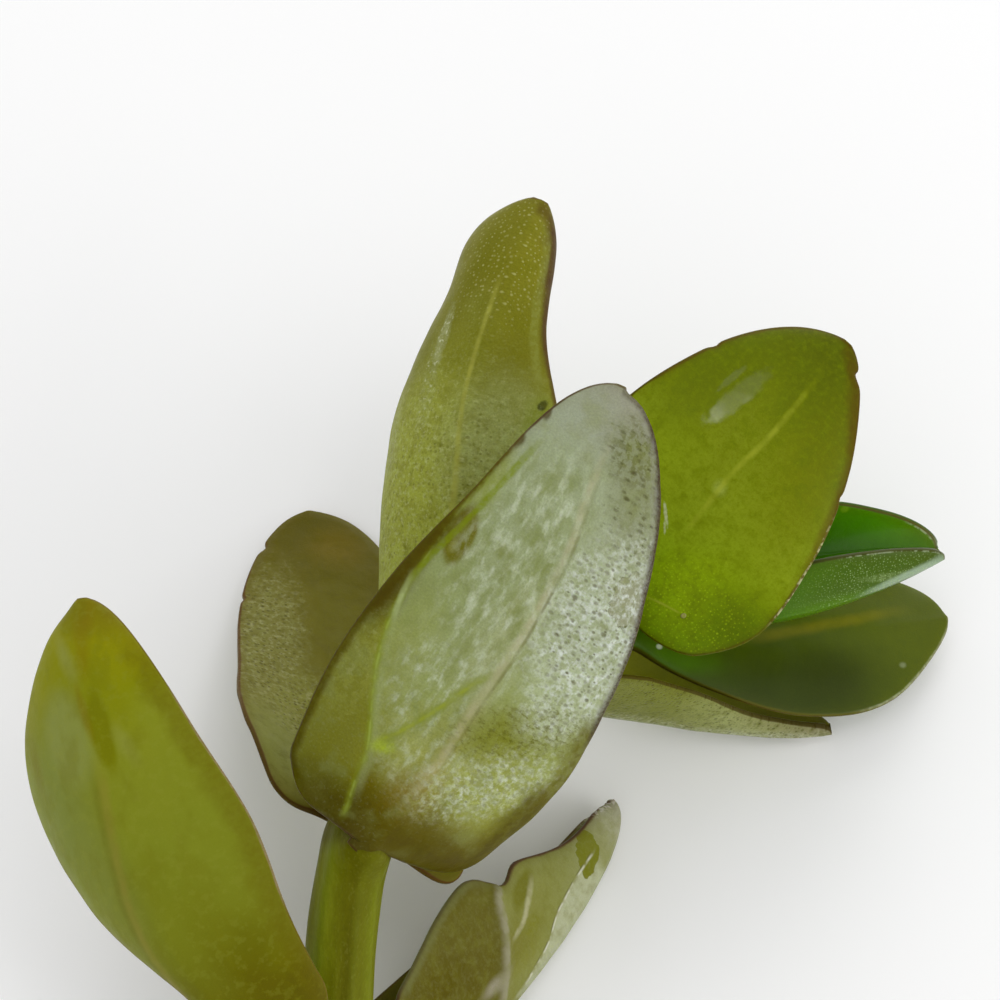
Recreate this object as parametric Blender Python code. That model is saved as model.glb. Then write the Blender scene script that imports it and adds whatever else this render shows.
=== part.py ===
"""Lemon bacopa cutting: a fleshy stem with opposite leaves, lying on a flat surface.

Lengths are in millimetres up to the last step, which makes the meshes in metres.
The stem's cut end is at -Y, the shoot runs along +Y and its young top turns to +X.
"""

import bpy
import numpy as np

MM = 0.001

# The middle of the footprint, on the surface below: it becomes the origin.
MIDDLE = (0.14, -15.41, 0.01)

# Half thickness of a leaf blade at its midrib and at its margin, less towards the tip.
BLADE_MIDRIB = 0.40
BLADE_MARGIN = 0.17
TIP_TAPER = 0.8

# The half width where a leaf starts, then shares of its length: the round base, the reach
# of its lobes and the last row before the tip point.
LEAF_BASE_HALF_WIDTH = 0.9
BASE_ROUNDING = 0.10
LOBE_REACH = 0.16
LAST_ROW = 0.988

LEAF_ROWS = 15
LEAF_HALF_COLUMNS = 5

STEM_SIDES = 14
STEM_RINGS = 52
STEM_RIB_HEIGHT = 0.06
STEM_RIBS = 7
NODE_SWELLING = 0.12
NODE_LENGTH = 0.9

# Where the stem is cut, its nodes with their leaf pairs, and the base of the tip bud.
STEM_POINTS = {
    "cut": (-8.3, -41.0, 1.64),
    "node_a": (-7.5, -27.6, 6.5),
    "node_b": (-6.3, -18.0, 10.8),
    "node_c": (-2.1, -8.7, 9.6),
    "node_d": (4.7, -4.3, 7.5),
    "node_e": (9.0, -3.3, 7.0),
    "top": (11.4, -2.9, 7.2),
}
STEM_RADII = (1.70, 1.65, 1.55, 1.30, 1.10, 0.88, 0.70)

BUD_BASE = (11.9, -2.8, 7.25)
BUD_TIP = (16.6, -2.2, 7.6)
BUD_RADIUS = 0.62
BUD_BASE_SHARE = 0.55
BUD_SWELLING = 0.9
BUD_BLUNTNESS = 2.5
BUD_LAST_RING = 0.97
BUD_RINGS = 9
BUD_SIDES = 10

SHARP_EDGE_DEGREES = 50

# One entry per leaf. midrib is a cubic curve from the stem to the tip. face is the way the
# upper side looks at the base and at the tip. left and right are the half widths at the
# base, the quarters and the tip, fold and curl are degrees at base, middle and tip, and a
# lobe is how far the rounded base reaches back past the leaf's attachment.
LEAVES = {
    "leaf_a_left": {
        "midrib": ((-8.4, -28.1, 8.7), (-14.4, -26.5, 12.1), (-18.9, -17.5, 14.9), (-18.7, -8.4, 15.6)),
        "face": ((0.31, 0.56, -0.76), (0.30, 0.48, -0.83)),
        "left": (3.2, 4.8, 5.8, 4.7, 3.0), "fold_left": (5, 5, 0), "curl_left": (10, 10, 10),
        "right": (2.2, 1.3, 4.2, 5.4, 3.2), "fold_right": (10, 12, 10), "curl_right": (30, 40, 20),
        "bluntness": 8,
    },
    "leaf_a_right": {
        "midrib": ((-6.2, -27.0, 4.2), (-4.1, -29.4, 1.4), (7.2, -12.9, 0.0), (5.2, -11.4, 0.95)),
        "face": ((-0.57, 0.57, 0.59), (-0.91, 0.18, 0.37)),
        "left": (3.0, 4.4, 4.2, 2.6, 1.9), "fold_left": (50, 50, 50), "curl_left": (20, 20, 20),
        "right": (3.0, 5.2, 6.5, 2.4, 2.0), "fold_right": (50, 55, 50), "curl_right": (20, 20, 30),
        "notch_right": (0.57, 1.2, 0.045),
    },
    "leaf_b_front": {
        "midrib": ((-5.6, -19.2, 13.1), (-2.0, -15.9, 17.0), (3.3, -9.6, 20.6), (5.4, -0.9, 21.6)),
        "face": ((-0.16, 0.74, -0.66), (-0.25, 0.57, -0.78)),
        "left": (5.6, 6.8, 6.2, 5.0, 3.9), "fold_left": (15, 5, 0), "curl_left": (30, 20, 15),
        "right": (5.0, 6.3, 6.1, 4.9, 4.2), "fold_right": (10, 5, 0), "curl_right": (20, 20, 10),
        "lobe_left": 1.5, "lobe_right": 1.2,
    },
    "leaf_b_back": {
        "midrib": ((-6.7, -16.6, 8.9), (-7.2, -11.5, 5.7), (-8.6, -1.8, 1.5), (-9.5, 4.8, 0.30)),
        "face": ((0.43, 0.18, 0.88), (0.10, -0.10, 0.99)),
        "left": (5.0, 5.8, 4.9, 4.2, 3.2), "fold_left": (20, 5, 0), "curl_left": (20, 10, 0),
        "right": (4.8, 6.0, 6.2, 4.9, 4.2), "fold_right": (20, 5, 0), "curl_right": (20, 10, 0),
        "lobe_left": 2.6, "lobe_right": 4.3, "heel": (0.0, -0.87, -0.50),
    },
    "leaf_c_top": {
        "midrib": ((-2.5, -9.0, 11.9), (-2.7, -4.3, 15.6), (-0.9, 3.2, 19.9), (1.9, 10.4, 19.5)),
        "face": ((0.31, 0.56, -0.76), (0.10, 0.50, -0.86)),
        "left": (3.6, 5.0, 4.6, 2.6, 2.4), "fold_left": (10, 10, 25), "curl_left": (20, 30, 40),
        "right": (4.0, 5.0, 5.6, 4.5, 5.0), "fold_right": (10, 15, 15), "curl_right": (30, 50, 50),
        "notch_right": (0.82, 0.45, 0.09), "bluntness": 12,
    },
    "leaf_c_right": {
        "midrib": ((-1.2, -9.4, 7.5), (4.2, -6.6, 3.3), (11.0, -8.0, 0.5), (15.9, -7.4, 0.85)),
        "face": ((-0.11, 0.91, 0.50), (0.0, 0.91, 0.14)),
        "left": (3.8, 4.4, 4.4, 3.4, 2.0), "fold_left": (60, 65, 60), "curl_left": (10, 10, 10),
        "right": (3.4, 4.9, 3.8, 1.8, 1.0), "fold_right": (5, 5, 5), "curl_right": (10, 10, 10),
    },
    "leaf_d_upper": {
        "midrib": ((5.2, -4.8, 9.25), (7.8, -4.6, 12.5), (11.9, 0.1, 15.3), (16.2, 5.5, 14.9)),
        "face": ((0.20, -0.58, 0.79), (0.0, -0.41, 0.91)),
        "left": (4.6, 6.0, 6.2, 5.4, 4.4), "fold_left": (5, 0, 0), "curl_left": (10, 0, -10),
        "right": (3.7, 5.8, 5.6, 4.6, 2.8), "fold_right": (5, 0, 0), "curl_right": (10, -5, -10),
    },
    "leaf_d_lower": {
        "midrib": ((6.0, -4.8, 5.6), (10.5, -5.1, 3.6), (16.9, -2.9, 2.1), (21.7, -1.8, 1.4)),
        "face": ((0.12, 0.10, 0.99), (0.12, 0.10, 0.99)),
        "left": (2.4, 3.6, 3.8, 3.6, 3.0), "fold_left": (5, 5, 0), "curl_left": (10, 10, 10),
        "right": (0.4, 2.3, 3.9, 4.1, 2.1), "fold_right": (-10, -10, -5), "curl_right": (0, 0, 0),
    },
    "leaf_e_near": {
        "midrib": ((9.7, -4.9, 8.0), (12.2, -5.6, 8.1), (17.3, -3.9, 8.3), (20.8, -2.0, 8.4)),
        "face": ((0.11, 0.99, 0.06), (0.11, 0.99, 0.06)),
        "left": (1.5, 2.5, 2.8, 2.2, 1.2), "fold_left": (10, 10, 10), "curl_left": (20, 20, 20),
        "right": (1.5, 2.3, 2.7, 2.2, 1.2), "fold_right": (10, 10, 10), "curl_right": (20, 20, 20),
    },
    "leaf_e_far": {
        "midrib": ((9.7, -1.8, 6.0), (12.9, -0.5, 5.6), (17.7, 0.3, 5.6), (20.9, -0.2, 6.0)),
        "face": ((0.0, -0.81, 0.59), (0.0, -0.81, 0.59)),
        "left": (2.0, 2.6, 3.0, 2.3, 1.6), "fold_left": (10, 10, 10), "curl_left": (20, 10, 0),
        "right": (1.6, 1.9, 2.3, 1.9, 1.2), "fold_right": (10, 10, 10), "curl_right": (20, 20, 20),
    },
}

# Base colour and roughness of each leaf, oldest pair first, then the stem and the bud.
LOOKS = {
    "leaf_a_left": ((0.18, 0.17, 0.02), 0.40),
    "leaf_a_right": ((0.19, 0.19, 0.06), 0.40),
    "leaf_b_front": ((0.26, 0.28, 0.12), 0.32),
    "leaf_b_back": ((0.13, 0.11, 0.02), 0.45),
    "leaf_c_top": ((0.18, 0.19, 0.03), 0.40),
    "leaf_c_right": ((0.17, 0.17, 0.07), 0.40),
    "leaf_d_upper": ((0.19, 0.25, 0.01), 0.25),
    "leaf_d_lower": ((0.07, 0.11, 0.01), 0.35),
    "leaf_e_near": ((0.05, 0.20, 0.02), 0.30),
    "leaf_e_far": ((0.03, 0.22, 0.01), 0.30),
    "stem": ((0.16, 0.20, 0.04), 0.40),
    "tip_bud": ((0.03, 0.16, 0.01), 0.35),
}


def unit(vectors):
    vectors = np.asarray(vectors, float)
    return vectors / np.linalg.norm(vectors, axis=-1, keepdims=True)


def cubic(points, t):
    """Positions and directions along a cubic Bezier curve."""
    p = np.asarray(points, float)
    t = t[:, None]
    u = 1 - t
    place = u**3 * p[0] + 3 * u * u * t * p[1] + 3 * u * t * t * p[2] + t**3 * p[3]
    along = u * u * (p[1] - p[0]) + 2 * u * t * (p[2] - p[1]) + t * t * (p[3] - p[2])
    return place, unit(along)


def through_three(values, t):
    """The parabola through a value at the base, the middle and the tip."""
    first, middle, last = values
    return first * (1 - t) * (1 - 2 * t) + middle * 4 * t * (1 - t) + last * t * (2 * t - 1)


def through_many(values, t):
    """A smooth curve through evenly spaced values."""
    v = np.asarray(values, float)
    last = len(v) - 1
    x = np.clip(t, 0, 1) * last
    i = np.minimum(x.astype(int), last - 1)
    f = x - i
    before = np.where(i > 0, v[np.maximum(i - 1, 0)], 2 * v[0] - v[1])
    after = np.where(i + 2 <= last, v[np.minimum(i + 2, last)], 2 * v[last] - v[last - 1])
    a, b = v[i], v[i + 1]
    square = 2 * before - 5 * a + 4 * b - after
    cube = 3 * a - before - 3 * b + after
    return 0.5 * (2 * a + (b - before) * f + square * f**2 + cube * f**3)


def half_width(leaf, side, t):
    """Distance from the midrib to the margin, round at the base and blunt at the tip."""
    width = through_many(leaf[side], t) * np.sqrt(np.clip(1 - t ** leaf.get("bluntness", 6), 0, 1))
    rounding = base_rounding(t)
    width = LEAF_BASE_HALF_WIDTH * (1 - rounding) + width * rounding
    if "notch_" + side in leaf:
        place, depth, spread = leaf["notch_" + side]
        width = width - depth * np.exp(-(((t - place) / spread) ** 2))
    return width


def base_rounding(t):
    return np.sqrt(1 - np.clip(1 - t / BASE_ROUNDING, 0, 1) ** 2)


def bent_section(fold, curl, q):
    """Where a share q of the half width lies, across and up, on an arc that starts at fold."""
    curl = np.where(np.abs(curl) < 1e-4, 1e-4, curl)
    across = (np.sin(fold + curl * q) - np.sin(fold)) / curl
    up = (np.cos(fold) - np.cos(fold + curl * q)) / curl
    return across, up


def leaf_blade(leaf, t):
    """The middle surface of a leaf, a grid of points, with the normals of its upper side."""
    place, along = cubic(leaf["midrib"], t)
    base_face, tip_face = unit(leaf["face"])
    face = base_face * (1 - t[:, None]) + tip_face * t[:, None]
    face = unit(face - (face * along).sum(1, keepdims=True) * along)
    sideways = np.cross(along, face)
    heel = -along
    if "heel" in leaf:
        heel = np.tile(unit(leaf["heel"]), (len(t), 1))
    columns = 2 * LEAF_HALF_COLUMNS + 1
    grid = np.zeros((len(t), columns, 3))
    grid[:, LEAF_HALF_COLUMNS] = place
    for side, sign in (("left", -1), ("right", 1)):
        width = half_width(leaf, side, t)
        fold = np.radians(through_three(leaf["fold_" + side], t))
        curl = np.radians(through_three(leaf["curl_" + side], t))
        lobe = leaf.get("lobe_" + side, 0) * np.exp(-((t / LOBE_REACH) ** 2)) * base_rounding(t)
        for column in range(1, LEAF_HALF_COLUMNS + 1):
            q = column / LEAF_HALF_COLUMNS
            across, up = bent_section(fold, curl, q)
            points = place + sign * (across * width)[:, None] * sideways + (up * width)[:, None] * face
            grid[:, LEAF_HALF_COLUMNS + sign * column] = points + (lobe * q * q)[:, None] * heel
    normals = unit(np.cross(np.gradient(grid, axis=1), np.gradient(grid, axis=0)))
    middle = len(t) // 2
    if normals[middle, LEAF_HALF_COLUMNS] @ face[middle] < 0:
        normals = -normals
    return grid, normals


def make_leaf(name, leaf):
    """A closed leaf: an upper and a lower skin, a thin margin all round and a pointed end."""
    spread = np.linspace(0, 1, LEAF_ROWS)
    t = (0.5 - 0.5 * np.cos(np.pi * spread)) * LAST_ROW
    grid, normals = leaf_blade(leaf, t)
    columns = grid.shape[1]
    share = np.abs(np.linspace(-1, 1, columns))
    half = BLADE_MARGIN + (BLADE_MIDRIB - BLADE_MARGIN) * np.sqrt(1 - share**2)
    taper = np.sqrt(1 - (TIP_TAPER * t) ** 4)
    offset = normals * (half[None, :, None] * taper[:, None, None])
    tip = cubic(leaf["midrib"], np.array([1.0]))[0]
    verts = np.concatenate([(grid + offset).reshape(-1, 3), (grid - offset).reshape(-1, 3), tip])
    below = LEAF_ROWS * columns
    tip_index = 2 * below
    faces = []
    for row in range(LEAF_ROWS - 1):
        for column in range(columns - 1):
            a = row * columns + column
            upper = (a, a + 1, a + 1 + columns, a + columns)
            faces.append(upper)
            faces.append(tuple(below + i for i in reversed(upper)))
    rim = [(row * columns, (row + 1) * columns) for row in range(LEAF_ROWS - 1)]
    rim += [((row + 1) * columns - 1, (row + 2) * columns - 1) for row in range(LEAF_ROWS - 1)]
    left, right = rim[: LEAF_ROWS - 1], rim[LEAF_ROWS - 1:]
    faces += [(a, b, below + b, below + a) for a, b in left]
    faces += [(b, a, below + a, below + b) for a, b in right]
    faces += [(i + 1, i, below + i, below + i + 1) for i in range(columns - 1)]
    end = (LEAF_ROWS - 1) * columns
    for i in range(end, end + columns - 1):
        faces.append((i, i + 1, tip_index))
        faces.append((below + i + 1, below + i, tip_index))
    faces.append((below + end, end, tip_index))
    faces.append((end + columns - 1, below + end + columns - 1, tip_index))
    return make_object(name, verts, faces)


def make_stem():
    """A ribbed tube, swollen a little at each node, with flat ends."""
    points = np.array(list(STEM_POINTS.values()))
    t = np.linspace(0, 1, STEM_RINGS)
    path = np.stack([through_many(points[:, axis], t) for axis in range(3)], axis=1)
    radius = through_many(STEM_RADII, t)
    for place in points[1:-1]:
        distance = np.linalg.norm(path - place, axis=1)
        radius = radius + NODE_SWELLING * np.exp(-((distance / NODE_LENGTH) ** 2))
    along = unit(np.gradient(path, axis=0))
    sideways = unit(np.cross(along, (0.0, 0.0, 1.0)))
    up = np.cross(sideways, along)
    angle = np.linspace(0, 2 * np.pi, STEM_SIDES, endpoint=False)
    rib = 1 + STEM_RIB_HEIGHT / STEM_RADII[0] * np.cos(STEM_RIBS * angle)
    ring = np.cos(angle)[:, None] * sideways[:, None] + np.sin(angle)[:, None] * up[:, None]
    verts = path[:, None] + ring * (radius[:, None] * rib[None, :])[:, :, None]
    return make_object("stem", verts.reshape(-1, 3), tube_faces(STEM_RINGS, STEM_SIDES))


def tube_faces(rings, sides):
    faces = [tuple(range(sides)), tuple(reversed(range((rings - 1) * sides, rings * sides)))]
    for ring in range(rings - 1):
        for side in range(sides):
            a = ring * sides + side
            b = ring * sides + (side + 1) % sides
            faces.append((a, a + sides, b + sides, b))
    return faces


def make_bud():
    """The closed bud of the youngest leaves, a slim drop that ends in a point."""
    base, tip = np.array(BUD_BASE), np.array(BUD_TIP)
    along = unit(tip - base)
    sideways = unit(np.cross(along, (0.0, 0.0, 1.0)))
    up = np.cross(sideways, along)
    t = np.linspace(0, BUD_LAST_RING, BUD_RINGS)
    radius = BUD_RADIUS * (BUD_BASE_SHARE + BUD_SWELLING * t) * np.sqrt(1 - t**BUD_BLUNTNESS)
    angle = np.linspace(0, 2 * np.pi, BUD_SIDES, endpoint=False)
    ring = np.cos(angle)[:, None] * sideways + np.sin(angle)[:, None] * up
    path = base + t[:, None] * (tip - base)
    verts = path[:, None] + ring[None] * radius[:, None, None]
    return make_object("tip_bud", verts.reshape(-1, 3), tube_faces(BUD_RINGS, BUD_SIDES))


def make_object(name, verts, faces):
    mesh = bpy.data.meshes.new(name)
    mesh.from_pydata(((verts - MIDDLE) * MM).tolist(), [], faces)
    mesh.validate()
    mesh.shade_smooth()
    mesh.set_sharp_from_angle(angle=np.radians(SHARP_EDGE_DEGREES))
    item = bpy.data.objects.new(name, mesh)
    bpy.context.collection.objects.link(item)
    color, roughness = LOOKS[name]
    material = bpy.data.materials.new(name)
    material.use_nodes = True
    shader = material.node_tree.nodes["Principled BSDF"]
    shader.inputs["Base Color"].default_value = (*color, 1.0)
    shader.inputs["Roughness"].default_value = roughness
    shader.inputs["Metallic"].default_value = 0.0
    mesh.materials.append(material)
    return item


def clear_scene():
    for item in list(bpy.data.objects):
        bpy.data.objects.remove(item, do_unlink=True)


clear_scene()
make_stem()
make_bud()
for leaf_name, leaf_shape in LEAVES.items():
    make_leaf(leaf_name, leaf_shape)
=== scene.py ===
# Lemon bacopa cutting that lies on a plain pale floor.
# Sizes and places are millimetres of the plant, and meshFrom turns them into metres of the frame.
import math

import bpy
import numpy as np
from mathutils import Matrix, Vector, noise


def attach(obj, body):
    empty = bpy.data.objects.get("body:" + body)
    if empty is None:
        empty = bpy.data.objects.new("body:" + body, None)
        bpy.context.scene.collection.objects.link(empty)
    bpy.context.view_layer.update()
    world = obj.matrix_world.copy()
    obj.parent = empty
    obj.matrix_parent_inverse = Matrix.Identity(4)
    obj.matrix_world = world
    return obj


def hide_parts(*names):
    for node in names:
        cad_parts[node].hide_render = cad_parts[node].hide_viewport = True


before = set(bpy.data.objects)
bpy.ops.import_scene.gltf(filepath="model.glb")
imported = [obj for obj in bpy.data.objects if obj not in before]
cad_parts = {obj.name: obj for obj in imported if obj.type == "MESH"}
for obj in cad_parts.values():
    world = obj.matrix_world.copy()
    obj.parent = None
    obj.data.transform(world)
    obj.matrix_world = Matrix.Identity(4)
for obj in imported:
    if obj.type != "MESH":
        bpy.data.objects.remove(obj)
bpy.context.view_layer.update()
print("frame loaded,", len(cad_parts), "nodes")

plantMiddle = np.array((0.14, -15.41, 0.01))  # where the frame's origin lies in the plant's own places
metresPerMm = 0.001


def linear(red, green, blue):
    # a colour as picked on a screen, 0 to 255, in the shader's linear values
    shares = [value / 255 for value in (red, green, blue)]
    return (*[s / 12.92 if s <= 0.04045 else ((s + 0.055) / 1.055) ** 2.4 for s in shares], 1.0)


def unit(vectors):
    vectors = np.asarray(vectors, float)
    return vectors / np.maximum(np.linalg.norm(vectors, axis=-1, keepdims=True), 1e-12)


def cubic(points, t):
    p = np.asarray(points, float)
    t = t[:, None]
    u = 1 - t
    place = u**3 * p[0] + 3 * u * u * t * p[1] + 3 * u * t * t * p[2] + t**3 * p[3]
    along = u * u * (p[1] - p[0]) + 2 * u * t * (p[2] - p[1]) + t * t * (p[3] - p[2])
    return place, unit(along)


def throughThree(values, t):
    first, middle, last = values
    return first * (1 - t) * (1 - 2 * t) + middle * 4 * t * (1 - t) + last * t * (2 * t - 1)


def throughMany(values, t):
    # Catmull-Rom through evenly spaced values
    v = np.asarray(values, float)
    last = len(v) - 1
    x = np.clip(t, 0, 1) * last
    i = np.minimum(x.astype(int), last - 1)
    f = x - i
    before = np.where(i > 0, v[np.maximum(i - 1, 0)], 2 * v[0] - v[1])
    after = np.where(i + 2 <= last, v[np.minimum(i + 2, last)], 2 * v[last] - v[last - 1])
    a, b = v[i], v[i + 1]
    square = 2 * before - 5 * a + 4 * b - after
    cube = 3 * a - before - 3 * b + after
    return 0.5 * (2 * a + (b - before) * f + square * f**2 + cube * f**3)


def smoothRise(x, low, high):
    s = np.clip((x - low) / (high - low), 0, 1)
    return s * s * (3 - 2 * s)


def roughness3d(points, size, seed):
    # smooth noise from -1 to 1 at each point, with features about as large as size
    flat = points.reshape(-1, 3) / size + seed
    values = [noise.noise(Vector(p)) + 0.5 * noise.noise(Vector(p) * 2.1) for p in flat]
    return np.array(values).reshape(points.shape[:-1]) / 1.2


def meshFrom(name, verts, faces, attributes):
    mesh = bpy.data.meshes.new(name)
    mesh.from_pydata(((verts - plantMiddle) * metresPerMm).tolist(), [], faces)
    mesh.validate()
    mesh.shade_smooth()
    for label, values in attributes.items():
        layer = mesh.attributes.new(label, "FLOAT_VECTOR", "POINT")
        layer.data.foreach_set("vector", np.asarray(values, np.float32).ravel())
    piece = bpy.data.objects.new(name, mesh)
    bpy.context.scene.collection.objects.link(piece)
    return piece


# The blade that all leaves share. Its rows start a little inside the stem.
blade = {
    "rows": 132, "halfColumns": 34, "firstRow": -0.035, "lastRow": 0.9985, "lobeReach": 0.16,
    "midribHalf": 0.40, "marginHalf": 0.075, "baseHalfWidth": 0.9, "baseRounding": 0.10, "tipTaper": 0.8,
}


def baseRounding(t):
    return np.sqrt(1 - np.clip(1 - t / blade["baseRounding"], 0, 1) ** 2)


def halfWidth(leaf, side, t):
    bluntness = leaf.get("bluntness", 6)
    width = throughMany(leaf[side], t) * np.sqrt(np.clip(1 - np.clip(t, 0, 1) ** bluntness, 0, 1))
    rounding = baseRounding(t)
    width = blade["baseHalfWidth"] * (1 - rounding) + width * rounding
    for notchSide, place, depth, spread in leaf.get("notches", ()):
        if notchSide == side:
            width = width - depth * np.exp(-(((t - place) / spread) ** 2))
    return width


def leafSurface(leaf):
    # the middle surface as a grid of points, with its normals and its flattened places in mm
    rows, half = blade["rows"], blade["halfColumns"]
    even = np.linspace(0, 1, rows)
    spaced = 0.5 * even + 0.5 * (0.5 - 0.5 * np.cos(np.pi * even))
    t = blade["firstRow"] + (blade["lastRow"] - blade["firstRow"]) * spaced
    even = np.linspace(-1, 1, 2 * half + 1)
    share = 0.5 * even + 0.5 * np.sin(even * np.pi / 2)
    place, along = cubic(leaf["midrib"], t)
    baseFace, tipFace = unit(leaf["face"])
    face = baseFace * (1 - t[:, None]) + tipFace * t[:, None]
    face = unit(face - (face * along).sum(1, keepdims=True) * along)
    sideways = np.cross(along, face)
    heel = np.tile(unit(leaf["heel"]), (rows, 1)) if "heel" in leaf else -along
    grid = np.zeros((rows, 2 * half + 1, 3))
    back = np.zeros((rows, 2 * half + 1))
    grid[:, half] = place
    for side, sign in (("left", -1), ("right", 1)):
        width = halfWidth(leaf, side, t)
        fold = np.radians(throughThree(leaf["fold" + side.title()], t))
        curl = np.radians(throughThree(leaf["curl" + side.title()], t))
        curl = np.where(np.abs(curl) < 1e-4, 1e-4, curl)
        lobe = leaf.get("lobe" + side.title(), 0) * np.exp(-((t / blade["lobeReach"]) ** 2)) * baseRounding(t)
        for step in range(1, half + 1):
            q = abs(share[half + sign * step])
            across = (np.sin(fold + curl * q) - np.sin(fold)) / curl
            up = (np.cos(fold) - np.cos(fold + curl * q)) / curl
            points = place + sign * (across * width)[:, None] * sideways + (up * width)[:, None] * face
            grid[:, half + sign * step] = points + (lobe * q * q)[:, None] * heel
            back[:, half + sign * step] = lobe * q * q
    normals = unit(np.cross(np.gradient(grid, axis=1), np.gradient(grid, axis=0)))
    if normals[rows // 2, half] @ face[rows // 2] < 0:
        normals = -normals
    stepAcross = np.linalg.norm(np.diff(grid, axis=1), axis=2)
    across = np.concatenate([np.zeros((rows, 1)), np.cumsum(stepAcross, axis=1)], axis=1)
    across -= across[:, half: half + 1]
    stepAlong = np.linalg.norm(np.diff(place, axis=0), axis=1)
    alongMm = np.concatenate([[0], np.cumsum(stepAlong)])
    flat = np.stack([across, alongMm[:, None] - back], axis=2)
    return {"t": t, "share": share, "grid": grid, "normals": normals, "flat": flat}


def flatPlace(surface, at):
    # flattened place in mm of a point given as shares along the leaf and across it
    t, share, flat = surface["t"], surface["share"], surface["flat"]
    row = np.interp(at[0], t, np.arange(len(t)))
    low = min(int(row), len(t) - 2)
    found = []
    for axis in range(2):
        ends = [np.interp(at[1], share, flat[low + k, :, axis]) for k in range(2)]
        found.append(ends[0] + (ends[1] - ends[0]) * (row - low))
    return np.array(found)


def toLine(flat, line):
    # signed distance in mm to a line of flattened points, and the share of the line passed there
    lengths = np.linalg.norm(np.diff(line, axis=0), axis=1)
    passed = np.concatenate([[0], np.cumsum(lengths)]) / lengths.sum()
    nearest = np.full(flat.shape[:2], 1e9)
    signed = np.zeros(flat.shape[:2])
    share = np.zeros(flat.shape[:2])
    for i, length in enumerate(lengths):
        way = (line[i + 1] - line[i]) / length
        offset = flat - line[i]
        f = np.clip(offset @ way, 0, length)
        away = np.linalg.norm(offset - f[..., None] * way, axis=2)
        closer = away < nearest
        nearest = np.where(closer, away, nearest)
        side = np.sign(way[0] * offset[..., 1] - way[1] * offset[..., 0])
        signed = np.where(closer, away * side, signed)
        share = np.where(closer, passed[i] + (passed[i + 1] - passed[i]) * f / length, share)
    return signed, share


def edgeDistance(flat):
    outline = np.concatenate([flat[:, 0], flat[-1], flat[::-1, -1], flat[0, ::-1]])
    ends = np.roll(outline, -1, axis=0)
    nearest = np.full(flat.shape[:2], 1e9)
    for a, b in zip(outline, ends):
        length = np.linalg.norm(b - a)
        if length > 1e-6:
            way = (b - a) / length
            offset = flat - a
            f = np.clip(offset @ way, 0, length)
            nearest = np.minimum(nearest, np.linalg.norm(offset - f[..., None] * way, axis=2))
    return nearest


def window(share, fade=0.08):
    # 1 along a line, falling to 0 at its two ends
    return smoothRise(share, 0, fade) * smoothRise(1 - share, 0, fade)


def reliefOf(leaf, surface, lines):
    # height in mm of the blade's folds and dents, towards its upper side
    height = np.zeros(surface["flat"].shape[:2])
    for values, (distance, share) in zip(leaf.get("lines", ()), lines):
        open_ = window(share, values.get("fade", 0.08))
        crease = values.get("depth", 0) * np.exp(-((distance / values.get("breadth", 0.4)) ** 2))
        towards = distance * values.get("bendSide", 1)
        beyond = values.get("bend", 0) * 0.5 * (towards + np.sqrt(distance**2 + 0.09))
        height = height + (crease + beyond) * open_
    quilt = leaf.get("quilt")
    if quilt:
        flat3 = np.concatenate([surface["flat"], np.zeros((*height.shape, 1))], axis=2)
        height = height + quilt["lift"] * roughness3d(flat3, quilt["size"], quilt["seed"])
    return height


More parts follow.
